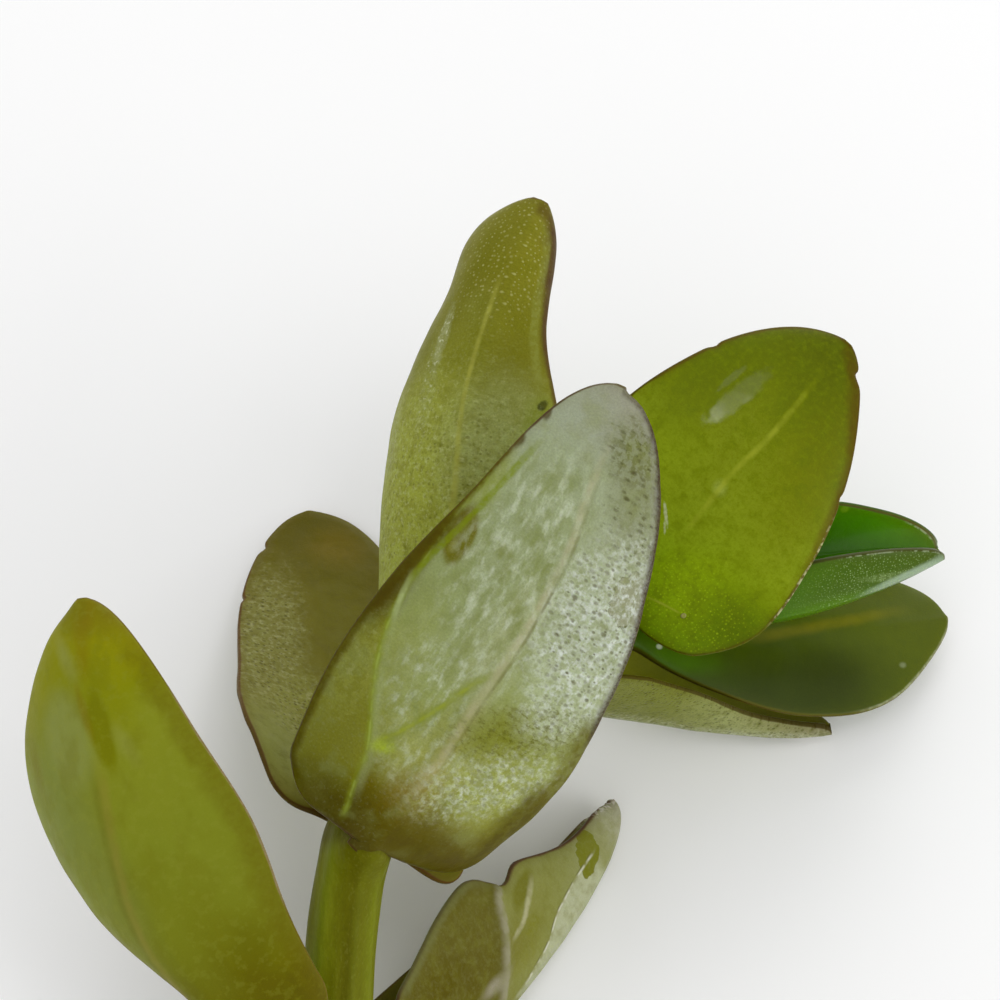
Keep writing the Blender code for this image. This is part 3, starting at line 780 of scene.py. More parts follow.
bigFrontLeaf = {
    "name": "leaf_big_front", "node": "leaf_b_front", "slot": "leaf_old",
    "midrib": ((-5.6, -19.2, 13.1), (-2.0, -15.9, 17.0), (3.3, -9.6, 20.6), (5.4, -0.9, 21.6)),
    "face": ((-0.16, 0.74, -0.66), (-0.25, 0.57, -0.78)),
    "left": (5.6, 6.8, 6.2, 5.0, 3.9), "foldLeft": (15, 5, 0), "curlLeft": (30, 20, 15),
    "right": (5.0, 6.3, 6.1, 4.9, 4.2), "foldRight": (10, 5, 0), "curlRight": (20, 20, 10),
    "lobeLeft": 1.5, "lobeRight": 1.2,
    "notches": [("left", 0.992, 0.55, 0.006)],
    "quilt": {"lift": 0.09, "size": 2.2, "seed": 1.7},
    "rib": {"under": 0.05, "upper": -0.04, "breadth": 0.18},
    "lines": [
        {   # the fold from the base to the left margin; beyond it the fill is the olive far side with painted shade
            "points": [
                (0.01, 0.60), (0.10, 0.40), (0.18, 0.45), (0.27, 0.60), (0.345, 0.72), (0.44, 0.82),
                (0.59, 0.90),
                (0.70, 0.96), (0.78, 0.97),
            ],
            "depth": 0.10, "breadth": 0.30, "bend": 0.22, "bendSide": -1,
            "fills": [
                fill(-1, 7.0, (112, 112, 24), 0.95, fade=0.02),
                fill(1, 0.6, (154, 166, 112), 0.5),
            ],
            "strokes": [
                stroke(0.1, 0.16, (126, 140, 40), 0.65, fade=0.05, breaks=0.5),
                stroke(0.035, 0.05, (158, 174, 84), 0.45, breaks=0.9),
            ],
        },
        {   # the branch of the fold that runs to the midrib
            "points": [(0.20, 0.42), (0.25, 0.30), (0.34, 0.16), (0.39, 0.09), (0.44, 0.0)],
            "depth": 0.05, "breadth": 0.28,
            "strokes": [
                stroke(0.14, 0.22, (122, 132, 40), 0.7),
                stroke(0.05, 0.08, (150, 162, 48), 0.4, breaks=0.8),
            ],
        },
        {   # the midrib, with a dark stroke on its right that paints the shade of a groove
            "points": [
                (0.10, 0.02), (0.22, -0.02), (0.38, -0.01), (0.50, -0.03), (0.67, -0.05), (0.81, -0.01),
                (0.92, -0.06),
            ],
            "strokes": [
                stroke(0.07, 0.22, (168, 162, 130), 0.5, fade=0.15, breaks=0.5, offset=-0.05),
                stroke(0.04, 0.09, (108, 106, 64), 0.65, fade=0.42, breaks=0.6, offset=0.18),
            ],
        },
        {   # the pale streak beside the fold
            "points": [(0.40, 0.76), (0.47, 0.84), (0.54, 0.90)],
            "strokes": [
                stroke(0.1, 0.1, (166, 178, 124), 0.7, fade=0.3),
            ],
        },
    ],
    "upper": "oldUpper",
    "under": {
        "tones": [
            (0.0, (86, 76, 10)), (0.08, (98, 90, 14)), (0.20, (126, 128, 40)), (0.38, (132, 142, 74)),
            (0.60, (138, 149, 104)), (0.80, (147, 156, 126)), (0.92, (150, 156, 136)),
            (1.0, (140, 140, 124)),
        ],
        "patches": [
            patch((0.31, 0.82), (1.1, 2.6), (134, 138, 56), 0.7, 0.6, name="fold", turn=8, patchy=0.6,
                  speck=0.45),
            # the streaks patches paint the wet sheen as pale streaks
            patch((0.235, 0.1), (1.7, 1.7), (164, 168, 104), 0.75, 0.6, name="streaks", patchy=0.5,
                  speck=0.4, dots=0.7),
            patch((0.13, -0.02), (1.0, 1.7), (130, 106, 32), 0.8, 0.6, turn=-6, patchy=0.3),
            patch((0.3, -0.02), (0.4, 2.2), (150, 138, 84), 0.5, 0.7),
            patch((0.01, 0.2), (4.0, 1.7), (68, 58, 6), 0.95, 0.6),
            patch((0.05, -0.6), (4.2, 1.8), (88, 78, 12), 0.92, 0.6, turn=-24),
            patch((0.365, -0.4), (3.6, 1.3), (112, 116, 36), 0.9, 0.5, name="olive", turn=30, patchy=0.4,
                  speck=0.4),
            # the pale silvery patches give the underside's own pale tone and also paint the reflection of its
            # wet sheen
            patch((0.25, -0.48), (3.4, 1.5), (158, 166, 92), 0.85, 0.6, name="silverAndPaintedSheen", turn=36,
                  patchy=0.6, speck=0.35, dots=0.6),
            patch((0.6, -0.66), (3.0, 4.0), (168, 177, 152), 0.9, name="silverAndPaintedSheen", turn=6, patchy=0.3,
                  speck=0.6, ragged=0.35, grain=1.4),
            patch((0.9, -0.62), (1.7, 1.5), (88, 90, 44), 0.9, 0.6, name="smudge", turn=10, patchy=0.5,
                  speck=0.35, ragged=0.4),
            patch((0.81, -0.78), (2.0, 1.9), (112, 116, 80), 0.8, 0.6, name="smudge", turn=6, patchy=0.4,
                  speck=0.35, ragged=0.4),
            patch((0.46, -0.56), (2.0, 2.0), (168, 178, 140), 0.8, 0.5, name="silverAndPaintedSheen", turn=14,
                  patchy=0.4, speck=0.5, ragged=0.3, grain=1.0, dots=0.6),
            patch((0.62, 0.22), (2.6, 5.2), (146, 156, 118), 0.5, 0.5, name="streaks", turn=4),
            patch((0.36, 0.3), (1.7, 2.6), (146, 156, 104), 0.5, 0.5, name="streaks", patchy=0.6,
                  speck=0.5),
            patch((0.38, 0.56), (0.9, 2.2), (150, 158, 104), 0.6, 0.6, turn=12, patchy=0.4, speck=0.5),
            patch((0.5, 1.0), (1.0, 2.6), (64, 50, 6), 0.95, 0.6),
            patch((0.61, 1.0), (0.7, 1.8), (78, 66, 10), 0.85, 0.6),
            patch((0.76, 0.97), (0.7, 2.0), (132, 142, 60), 0.8, 0.6),
            # pale patches along the midrib: painted sheen
            patch((0.45, 0.05), (1.2, 2.6), (150, 156, 110), 0.5, 0.7, turn=6),
            patch((0.5, 0.05), (0.55, 2.6), (164, 170, 130), 0.65, 0.6, turn=4, patchy=0.5),
            patch((0.628, 0.79), (0.6, 1.5), (98, 94, 18), 1.0, 0.2, turn=4, bare=True),
            patch((0.6, 0.78), (0.15, 0.32), (122, 122, 54), 0.7, 0.5),
            patch((0.2, 0.36), (0.46, 0.36), (158, 176, 40), 0.85, 0.6, turn=30, ragged=0.4),
            patch((0.675, -0.8), (1.15, 1.15), (140, 142, 116), 1.0, 0.05, turn=10, ragged=0.5, grain=0.8,
                  outline=(0.9, (80, 80, 46)), bare=True),
            patch((0.84, 0.99), (0.24, 0.42), (62, 46, 18), 0.85),
            patch((0.905, 0.97), (0.18, 0.42), (62, 46, 18), 0.8),
        ],
        "mottles": [
            mottle(1.6, 0.35, (122, 130, 74), (0.48, 0.66)),
            # pale mottles in the streaks: painted sheen
            mottle(0.42, 0.9, (184, 192, 166), (0.42, 0.72), stretch=0.45, within="streaks", lift=0.012),
            mottle(0.8, 0.7, (112, 122, 58), (0.42, 0.7), stretch=0.5, within="streaks"),
            # pale mottles in the silvery patches: painted sheen
            mottle(0.32, 1.0, (208, 214, 206), (0.4, 0.68), within="silverAndPaintedSheen", lift=0.02),
            mottle(1.0, 0.7, (126, 134, 90), (0.44, 0.7), within="silverAndPaintedSheen"),
            mottle(0.34, 0.75, (90, 90, 26), (0.48, 0.62), stretch=1.8, within="olive", lift=-0.01),
            mottle(0.35, 0.5, (146, 150, 88), (0.52, 0.66), within="fold"),
        ],
        "clouds": (0.10, (160, 166, 124)), "blotches": (0.12, (112, 116, 58)),
        "specks": (0.06, (176, 184, 150)),
        "dots": [
            gland(0.34, 0.085, 0.9, (92, 90, 62), 0.9, -0.035, stretch=(0.62, 1.0), within="silverAndPaintedSheen",
                  halo=(0.25, (196, 204, 188))),
            gland(0.25, 0.055, 0.5, (104, 104, 72), 0.8, -0.02, stretch=(0.62, 1.0), within="silverAndPaintedSheen"),
            gland(0.3, 0.075, 0.8, (66, 62, 34), 0.8, -0.03, stretch=(0.5, 1.0), within="smudge"),
        ],
        "rim": {"width": 0.10, "colour": (80, 56, 34), "glow": 0.15},
        "edges": [
            band("left", 0.0, 0.3, 1.7, (74, 64, 6), 0.9, patchy=0.15, speck=0.6),
            band("left", 0.24, 0.46, 1.1, (86, 78, 12), 0.8, speck=0.6),
            band("right", 0.4, 0.68, 0.62, (72, 60, 8), 0.9, patchy=0.15),
            band("right", 0.66, 0.84, 0.2, (78, 66, 20), 0.85),
            band("right", 0.03, 0.46, 0.42, (72, 60, 8), 0.8, patchy=0.15),
            band("right", 0.5, 0.84, 0.14, (114, 128, 26), 0.8, inset=0.8),
            band("left", 0.4, 1.0, 0.36, (60, 42, 40), 0.92, patchy=0.25, speck=0.12),
            band("right", 0.85, 1.0, 0.1, (72, 52, 40), 0.85, patchy=0.1),
            band("left", 0.45, 0.98, 0.22, (150, 150, 146), 0.3, patchy=0.6, inset=0.45),
        ],
        "rough": (0.34, 0.46), "grain": 0.10, "grainSize": 0.10, "seed": 1,
    },
}
makeLeaf(bigFrontLeaf)

bigBackLeaf = {
    "name": "leaf_big_back", "node": "leaf_b_back", "slot": "leaf_old",
    "midrib": ((-6.7, -16.6, 8.9), (-7.2, -11.5, 5.7), (-8.6, -1.8, 1.5), (-9.5, 4.8, 0.30)),
    "face": ((0.43, 0.18, 0.88), (0.10, -0.10, 0.99)),
    "left": (5.0, 5.8, 4.9, 4.2, 3.2), "foldLeft": (20, 5, 0), "curlLeft": (20, 10, 0),
    "right": (4.8, 6.0, 6.2, 4.9, 4.2), "foldRight": (20, 5, 0), "curlRight": (20, 10, 0),
    "lobeLeft": 2.6, "lobeRight": 4.3, "heel": (0.0, -0.87, -0.50),
    "notches": [("left", 0.89, 0.22, 0.012), ("left", 0.72, 0.14, 0.010)],
    "quilt": {"lift": 0.08, "size": 2.4, "seed": 4.1},
    "upper": {
        "tones": [
            (0.0, (118, 116, 50)), (0.30, (112, 106, 32)), (0.5, (102, 98, 22)), (0.75, (95, 88, 16)),
            (1.0, (84, 76, 18)),
        ],
        "patches": [
            patch((0.2, -0.72), (1.9, 3.4), (134, 138, 72), 0.85, 0.5),
            patch((0.55, -0.72), (1.9, 6.2), (124, 124, 66), 0.85, name="pitted", turn=10, patchy=0.4,
                  speck=0.5, ragged=0.3),
            patch((0.36, -0.36), (1.7, 3.2), (130, 132, 62), 0.8, 0.5, name="pitted", turn=20, patchy=0.4,
                  speck=0.5),
            patch((0.88, 0.33), (1.2, 1.2), (120, 100, 24), 0.5, 0.8),
            patch((0.02, 0.9), (3.0, 2.2), (92, 88, 26), 0.9, 0.5),
            patch((0.0, -0.9), (2.0, 1.4), (96, 92, 30), 0.9, 0.5),
            patch((0.7, 0.1), (1.6, 2.4), (102, 98, 16), 0.5, 0.8),
        ],
        "mottles": [
            mottle(0.9, 0.3, (84, 78, 16), (0.5, 0.66)),
            mottle(0.28, 0.7, (156, 156, 110), (0.45, 0.7), within="pitted"),
        ],
        "clouds": (0.12, (112, 108, 34)), "blotches": (0.10, (84, 78, 16)),
        "specks": (0.03, (138, 138, 80)),
        "dots": [
            gland(0.26, 0.068, 0.9, (70, 64, 24), 0.8, -0.025, stretch=(0.9, 0.8), within="pitted"),
        ],
        "rim": {"width": 0.08, "colour": (84, 52, 30)},
        "edges": [
            # pale bands along the margins near the tip: painted highlights
            band("right", 0.7, 1.0, 0.45, (112, 108, 62), 0.45),
            band("left", 0.8, 1.0, 0.4, (104, 98, 56), 0.45),
        ],
        "rough": (0.38, 0.5), "seed": 2,
    },
    "under": "oldUnder",
}
makeLeaf(bigBackLeaf)

topLeaf = {
    "name": "leaf_middle_top", "node": "leaf_c_top", "slot": "leaf_old",
    "midrib": ((-2.5, -9.0, 11.9), (-2.7, -4.3, 15.6), (-0.9, 3.2, 19.9), (1.9, 10.4, 19.5)),
    "face": ((0.31, 0.56, -0.76), (0.10, 0.50, -0.86)),
    "left": (3.6, 5.0, 4.6, 2.6, 2.4), "foldLeft": (10, 10, 25), "curlLeft": (20, 30, 40),
    "right": (4.0, 5.0, 5.6, 4.5, 5.0), "foldRight": (10, 15, 15), "curlRight": (30, 50, 50),
    "notches": [("right", 0.82, 0.45, 0.09)], "bluntness": 12,
    "quilt": {"lift": 0.05, "size": 2.4, "seed": 6.3},
    "rib": {"under": 0.02, "upper": -0.03, "breadth": 0.16},
    "lines": [
        {
            "points": [(0.15, -0.02), (0.38, 0.0), (0.51, 0.05), (0.62, 0.07), (0.75, 0.07), (0.82, 0.08)],
            "strokes": [
                stroke(0.06, 0.12, (166, 166, 74), 0.7, breaks=0.4),
            ],
        },
    ],
    "upper": "oldUpper",
    "under": {
        "tones": [
            (0.0, (160, 168, 72)), (0.28, (158, 166, 66)), (0.46, (148, 154, 64)),
            (0.60, (124, 126, 42)), (0.70, (114, 114, 34)),
            (0.84, (118, 116, 34)), (1.0, (116, 113, 38)),
        ],
        "patches": [
            patch((0.32, 0.15), (5.0, 6.0), (148, 156, 64), 0.3, 0.6, name="low", patchy=0.5, speck=0.5),
            patch((0.87, 0.12), (2.4, 3.6), (122, 119, 38), 0.3, 0.5, name="top"),
            patch((0.64, -0.5), (1.5, 2.6), (104, 102, 26), 0.7, 0.7),
            patch((0.84, 0.42), (0.7, 2.2), (104, 104, 24), 0.5, 0.8, turn=-10),
            patch((0.74, 0.2), (0.7, 1.0), (130, 134, 60), 0.5, 0.6, patchy=0.5, speck=0.25),
            # these patches add a coat and paint a pale highlight streak near the margin, with pale mottles in
            # it
            patch((0.67, 0.5), (0.3, 1.5), (150, 156, 96), 0.75, name="gloss", patchy=0.5, speck=0.25,
                  ragged=0.5, grain=0.35, coat=0.6),
            patch((0.56, 0.46), (0.45, 2.4), (146, 152, 88), 0.6, 0.5, name="gloss", turn=6, patchy=0.7,
                  ragged=0.5, grain=0.5, dots=0.7),
            patch((0.47, 0.8), (0.4, 2.0), (150, 154, 88), 0.5, 0.6, name="gloss", turn=6, patchy=0.6,
                  ragged=0.4, dots=0.5),
            patch((0.46, -0.34), (2.4, 3.0), (158, 168, 104), 0.85, 0.6, patchy=0.3),
            patch((0.53, -0.7), (0.8, 1.3), (108, 122, 22), 0.6, 0.6),
            patch((0.575, -0.76), (0.2, 0.3), (38, 42, 26), 0.95, 0.3, turn=-35, ragged=0.5),
        ],
        "mottles": [
            mottle(1.2, 0.35, (106, 106, 22), (0.46, 0.68)),
            mottle(0.4, 0.55, (106, 108, 26), (0.46, 0.68), stretch=0.7, within="low", lift=-0.012),
            mottle(0.24, 0.7, (182, 188, 124), (0.46, 0.7), within="low"),
            mottle(0.22, 0.8, (196, 200, 160), (0.53, 0.65), within="gloss"),
        ],
        "clouds": (0.10, (132, 134, 58)), "blotches": (0.10, (104, 104, 32)),
        "specks": (0.04, (150, 150, 84)),
        "dots": [
            gland(0.22, 0.045, 0.9, (176, 176, 112), 0.6, 0.008, stretch=(0.85, 0.85), within="top"),
            gland(0.29, 0.065, 0.75, (98, 98, 26), 0.6, -0.02, within="low"),
        ],
        "rim": {"width": 0.07, "colour": (92, 66, 36)},
        "edges": [
            band("left", 0.8, 1.0, 0.85, (72, 46, 30), 0.95, patchy=0.1),
            band("left", 0.66, 0.84, 0.45, (74, 48, 30), 0.92, patchy=0.1),
            band("left", 0.45, 0.78, 0.28, (78, 52, 24), 0.88, patchy=0.1),
            band("left", 0.6, 0.95, 0.22, (132, 138, 66), 0.5, patchy=0.5, inset=0.9),
            # a painted highlight where the margin turns
            band("right", 0.64, 0.73, 0.1, (190, 192, 160), 0.6, patchy=0.6, speck=0.2),
        ],
        "rough": (0.34, 0.46), "grain": 0.12, "grainSize": 0.09, "seed": 4,
    },
}
makeLeaf(topLeaf)

middleRightLeaf = {
    "name": "leaf_middle_right", "node": "leaf_c_right", "slot": "leaf_old",
    "midrib": ((-1.2, -9.4, 7.5), (4.2, -6.6, 3.3), (11.0, -8.0, 0.5), (15.9, -7.4, 0.85)),
    "face": ((-0.11, 0.91, 0.50), (0.0, 0.91, 0.14)),
    "left": (3.8, 4.4, 4.4, 3.4, 2.0), "foldLeft": (60, 65, 60), "curlLeft": (10, 10, 10),
    "right": (3.4, 4.9, 3.8, 1.8, 1.0), "foldRight": (5, 5, 5), "curlRight": (10, 10, 10),
    "quilt": {"lift": 0.05, "size": 2.2, "seed": 8.2},
    "upper": {
        "tones": [
            (0.0, (124, 126, 34)), (0.45, (136, 138, 34)), (0.6, (138, 140, 44)), (1.0, (104, 100, 34)),
        ],
        "clouds": (0.2, (122, 124, 50)), "blotches": (0.10, (90, 88, 24)), "specks": (0.03, (146, 146, 80)),
        "rim": {"width": 0.03, "colour": (70, 58, 22)},
        "rough": (0.32, 0.46), "seed": 14,
    },
    "under": {
        "tones": [
            (0.0, (122, 126, 52)), (0.45, (122, 128, 54)), (0.7, (150, 156, 98)), (1.0, (134, 128, 98)),
        ],
        "patches": [
            patch((0.42, -0.1), (1.1, 4.0), (156, 160, 120), 0.7, 0.5, name="pale", patchy=0.5,
                  speck=0.35),
            patch((0.75, -0.1), (0.8, 4.5), (164, 168, 138), 0.75, 0.5, name="pale", patchy=0.4,
                  speck=0.35),
            patch((0.4, -0.62), (0.4, 0.8), (168, 170, 146), 0.7, ragged=0.4),
            # a near-white spot with a coat at the tip: a painted highlight
            patch((0.94, -0.4), (0.5, 0.8), (206, 202, 194), 0.9, 0.5, coat=0.8),
        ],
        "mottles": [
            mottle(0.5, 0.5, (92, 96, 30), (0.46, 0.7)),
            mottle(0.25, 0.8, (192, 196, 166), (0.46, 0.68), within="pale"),
        ],
        "specks": (0.08, (160, 164, 124)),
        "dots": [
            gland(0.25, 0.07, 0.8, (78, 80, 30), 0.65, -0.02),
        ],
        "rim": {"width": 0.03, "colour": (66, 54, 22)},
        "edges": [
            band("left", 0.3, 0.64, 0.07, (78, 62, 32), 0.9, patchy=0.1),
            band("left", 0.36, 0.66, 0.1, (208, 206, 188), 0.9, patchy=0.75),
            band("left", 0.62, 0.99, 0.1, (204, 198, 186), 0.9, patchy=0.45, speck=0.4),
            band("left", 0.62, 0.97, 0.04, (86, 62, 46), 0.6, patchy=0.5, inset=0.12),
        ],
        "rough": (0.34, 0.46), "grain": 0.14, "grainSize": 0.09, "seed": 15,
    },
}
makeLeaf(middleRightLeaf)

upperPairLeaf = {
    "name": "leaf_young_upper", "node": "leaf_d_upper", "slot": "leaf_mid",
    "midrib": ((5.2, -4.8, 9.25), (7.8, -4.6, 12.5), (11.9, 0.1, 15.3), (16.2, 5.5, 14.9)),
    "face": ((0.20, -0.58, 0.79), (0.0, -0.41, 0.91)),
    "left": (4.6, 6.0, 6.2, 5.4, 4.4), "foldLeft": (5, 0, 0), "curlLeft": (10, 0, -10),
    "right": (3.7, 5.8, 5.6, 4.6, 2.8), "foldRight": (5, 0, 0), "curlRight": (10, -5, -10),
    "notches": [("right", 0.955, 0.30, 0.012), ("left", 0.78, 0.12, 0.012), ("right", 0.70, 0.10, 0.012)],
    "quilt": {"lift": 0.018, "size": 3.0, "seed": 2.9},
    "rib": {"under": 0.04, "upper": -0.02, "breadth": 0.16},
    "lines": [
        {
            "points": [(0.28, 0.0), (0.38, 0.0), (0.51, -0.02), (0.58, -0.02), (0.72, 0.02), (0.93, -0.02)],
            "strokes": [
                stroke(0.07, 0.15, (152, 160, 46), 0.65, fade=0.35, breaks=0.5),
            ],
        },
        {   # the small vein at the base
            "points": [(0.11, 0.10), (0.135, 0.25), (0.15, 0.36), (0.165, 0.50)],
            "strokes": [
                stroke(0.04, 0.06, (156, 166, 54), 0.65, breaks=0.4),
            ],
        },
    ],
    "upper": {
        "tones": [
            (0.0, (94, 130, 16)), (0.14, (124, 156, 22)), (0.28, (130, 152, 28)), (0.5, (126, 141, 32)),
            (0.7, (114, 125, 28)),
            (0.84, (90, 100, 16)), (1.0, (72, 78, 12)),
        ],
        "patches": [
            patch((0.14, 0.55), (3.2, 2.6), (120, 150, 12), 0.4, 0.6, name="base"),
            patch((0.22, 0.4), (1.5, 1.4), (140, 168, 14), 0.7, 0.9),
            patch((0.24, 0.95), (2.2, 1.6), (74, 94, 10), 0.85, 0.9),
            patch((0.44, -0.55), (1.8, 2.4), (132, 152, 26), 0.55, 0.8),
            patch((0.76, -0.88), (1.9, 3.4), (88, 100, 12), 0.8, 0.7),
            patch((0.74, 0.68), (1.8, 3.6), (102, 106, 16), 0.6, 0.8),
            patch((0.715, -0.43), (0.45, 1.75), soft=0.3, name="panes", turn=10, ragged=0.5, grain=0.4,
                  coat=0.75),
            patch((0.74, -0.6), (0.16, 0.8), soft=0.3, name="panes", turn=10, ragged=0.5, grain=0.3,
                  coat=0.7),
            patch((0.51, -0.02), (0.3, 0.26), (166, 180, 90), 0.45, 0.9, turn=40),
            # two small white streaks: painted highlights
            patch((0.36, -0.2), (0.07, 0.5), (196, 200, 160), 0.75, 0.5, turn=-50, ragged=0.8, grain=0.2),
            patch((0.33, -0.14), (0.05, 0.26), (190, 196, 150), 0.7, 0.5, turn=-44, ragged=0.8,
                  grain=0.2),
            patch((0.165, 0.52), (0.12, 0.12), (190, 178, 124), 0.9, 0.3, lift=0.05),
        ],
        "mottles": [
            mottle(0.8, 0.45, (92, 106, 8), (0.44, 0.68)),
            mottle(0.3, 0.18, (140, 158, 34), (0.42, 0.74)),
            mottle(0.18, 0.35, (92, 106, 6), (0.44, 0.7)),
        ],
        "clouds": (0.06, (126, 140, 20)), "blotches": (0.10, (100, 110, 12)),
        "specks": (0.02, (148, 164, 50)),
        "dots": [
            gland(0.19, 0.042, 0.7, (168, 196, 40), 0.55, 0.004, within="base"),
        ],
        "rim": {"width": 0.12, "colour": (70, 46, 12), "glow": 0.25},
        "edges": [
            band("right", 0.8, 1.0, 0.6, (84, 62, 12), 0.75, patchy=0.15),
            band("right", 0.5, 0.86, 0.36, (88, 70, 14), 0.65, patchy=0.2),
            band("left", 0.62, 1.0, 0.18, (90, 72, 16), 0.65, patchy=0.2),
            band("right", 0.32, 0.64, 0.1, (184, 184, 140), 0.75, patchy=0.9, speck=0.25),
            band("right", 0.0, 0.34, 0.1, (90, 100, 16), 0.6, patchy=0.4, speck=0.2),
        ],
        "rough": (0.34, 0.44), "coatRough": 0.05, "blotchLift": 0.002, "fineLift": 0.0005,
        "grain": 0.08, "seed": 6,
    },
    "under": "youngUnder",
}
makeLeaf(upperPairLeaf)

lowerPairLeaf = {
    "name": "leaf_young_lower", "node": "leaf_d_lower", "slot": "leaf_mid",
    "midrib": ((6.0, -4.8, 5.6), (10.5, -5.1, 3.6), (16.9, -2.9, 2.1), (21.7, -1.8, 1.4)),
    "face": ((0.12, 0.10, 0.99), (0.12, 0.10, 0.99)),
    "left": (2.4, 3.6, 3.8, 3.6, 3.0), "foldLeft": (5, 5, 0), "curlLeft": (10, 10, 10),
    "right": (0.4, 2.3, 3.9, 4.1, 2.1), "foldRight": (-10, -10, -5), "curlRight": (0, 0, 0),
    "quilt": {"lift": 0.05, "size": 2.4, "seed": 7.7},
    "rib": {"under": 0.04, "upper": 0.0, "breadth": 0.2},
    "lines": [
        {
            "points": [
                (0.30, 0.0), (0.41, -0.05), (0.58, -0.12), (0.70, -0.17), (0.82, -0.25), (0.92, -0.30),
            ],
            "strokes": [
                stroke(0.14, 0.34, (116, 114, 20), 0.75, fade=0.3, breaks=0.2),
            ],
        },
    ],
    "upper": {
        "tones": [
            (0.0, (74, 118, 18)), (0.2, (76, 104, 20)), (0.4, (76, 94, 18)), (0.6, (80, 94, 17)),
            (0.8, (84, 96, 16)), (1.0, (82, 92, 20)),
        ],
        "patches": [
            patch((0.46, 0.72), (2.2, 4.6), (50, 62, 26), 0.85, 0.7, ragged=0.3, grain=1.4),
            patch((0.6, 0.62), (1.4, 1.6), (46, 56, 20), 0.6, 0.8, ragged=0.3),
            patch((0.12, 0.85), (0.6, 2.2), (84, 132, 18), 0.7, 0.7),
            patch((0.81, 0.66), (0.13, 0.15), (138, 148, 108), 0.8, 0.7),
            # a tiny near-white spot with a coat: a painted glint
            patch((0.1, 0.4), (0.12, 0.14), (214, 226, 200), 0.9, coat=1.0),
        ],
        "clouds": (0.12, (70, 84, 18)), "blotches": (0.12, (56, 68, 16)), "specks": (0.02, (110, 124, 50)),
        "rim": {"width": 0.06, "colour": (88, 84, 30), "glow": 0.1},
        "edges": [
            band("right", 0.66, 1.0, 0.09, (148, 152, 118), 0.8, patchy=0.5),
        ],
        "rough": (0.3, 0.4), "shine": 0.1, "coat": 0.15, "coatRough": 0.3, "blotchLift": 0.004, "seed": 8,
    },
    "under": "youngUnder",
}
makeLeaf(lowerPairLeaf)

nearTipLeaf = {
    "name": "leaf_tip_near", "node": "leaf_e_near", "slot": "leaf_young",
    "midrib": ((9.7, -4.9, 8.0), (12.2, -5.6, 8.1), (17.3, -3.9, 8.3), (20.8, -2.0, 8.4)),
    "face": ((0.11, 0.99, 0.06), (0.11, 0.99, 0.06)),
    "left": (1.5, 2.5, 2.8, 2.2, 1.2), "foldLeft": (10, 10, 10), "curlLeft": (20, 20, 20),
    "right": (1.5, 2.3, 2.7, 2.2, 1.2), "foldRight": (10, 10, 10), "curlRight": (20, 20, 20),
    "upper": {
        "tones": [(0.0, (48, 110, 12)), (0.5, (44, 116, 10)), (1.0, (56, 100, 18))],
        "clouds": (0.3, (64, 128, 14)), "blotches": (0.12, (36, 92, 10)), "specks": (0.02, (120, 160, 60)),
        "midrib": {"width": 0.08, "colour": (100, 140, 40), "amount": 0.4},
        "rim": {"width": 0.06, "colour": (58, 72, 22)}, "rough": (0.24, 0.36), "shine": 0.1, "seed": 11,
    },
    "under": {
        "tones": [(0.0, (66, 116, 6)), (0.4, (72, 110, 8)), (0.7, (66, 92, 12)), (1.0, (70, 84, 28))],
        "patches": [
            patch((0.72, 0.4), (1.6, 3.4), (62, 88, 14), 0.6, 0.5, name="frosted"),
            # two pale streaks along the keel, the second with a coat: a painted highlight
            patch((0.8, 0.2), (0.22, 1.7), (138, 160, 104), 0.55, 0.6, turn=-20, patchy=0.7),
            patch((0.85, 0.02), (0.34, 2.3), (150, 170, 144), 0.85, coat=0.3),
            patch((0.55, -0.1), (0.6, 2.0), (92, 138, 30), 0.5, 0.8),
        ],
        "clouds": (0.08, (90, 126, 40)), "blotches": (0.12, (52, 94, 14)), "specks": (0.08, (136, 160, 96)),
        "dots": [
            gland(0.13, 0.03, 0.7, (158, 184, 120), 0.7, 0.003, within="frosted"),
        ],
        "rim": {"width": 0.06, "colour": (62, 64, 26)},
        "edges": [
            band("right", 0.2, 1.0, 0.06, (62, 66, 28), 0.8, patchy=0.2),
            # pale specks along the rim: painted glints
            band("right", 0.6, 1.0, 0.03, (160, 172, 140), 0.5, patchy=1.0, inset=0.06),
            band("left", 0.5, 1.0, 0.9, (134, 156, 126), 0.85, patchy=0.2),
        ],
        "rough": (0.3, 0.42), "shine": 0.12, "grain": 0.12, "seed": 12,
    },
}
makeLeaf(nearTipLeaf)

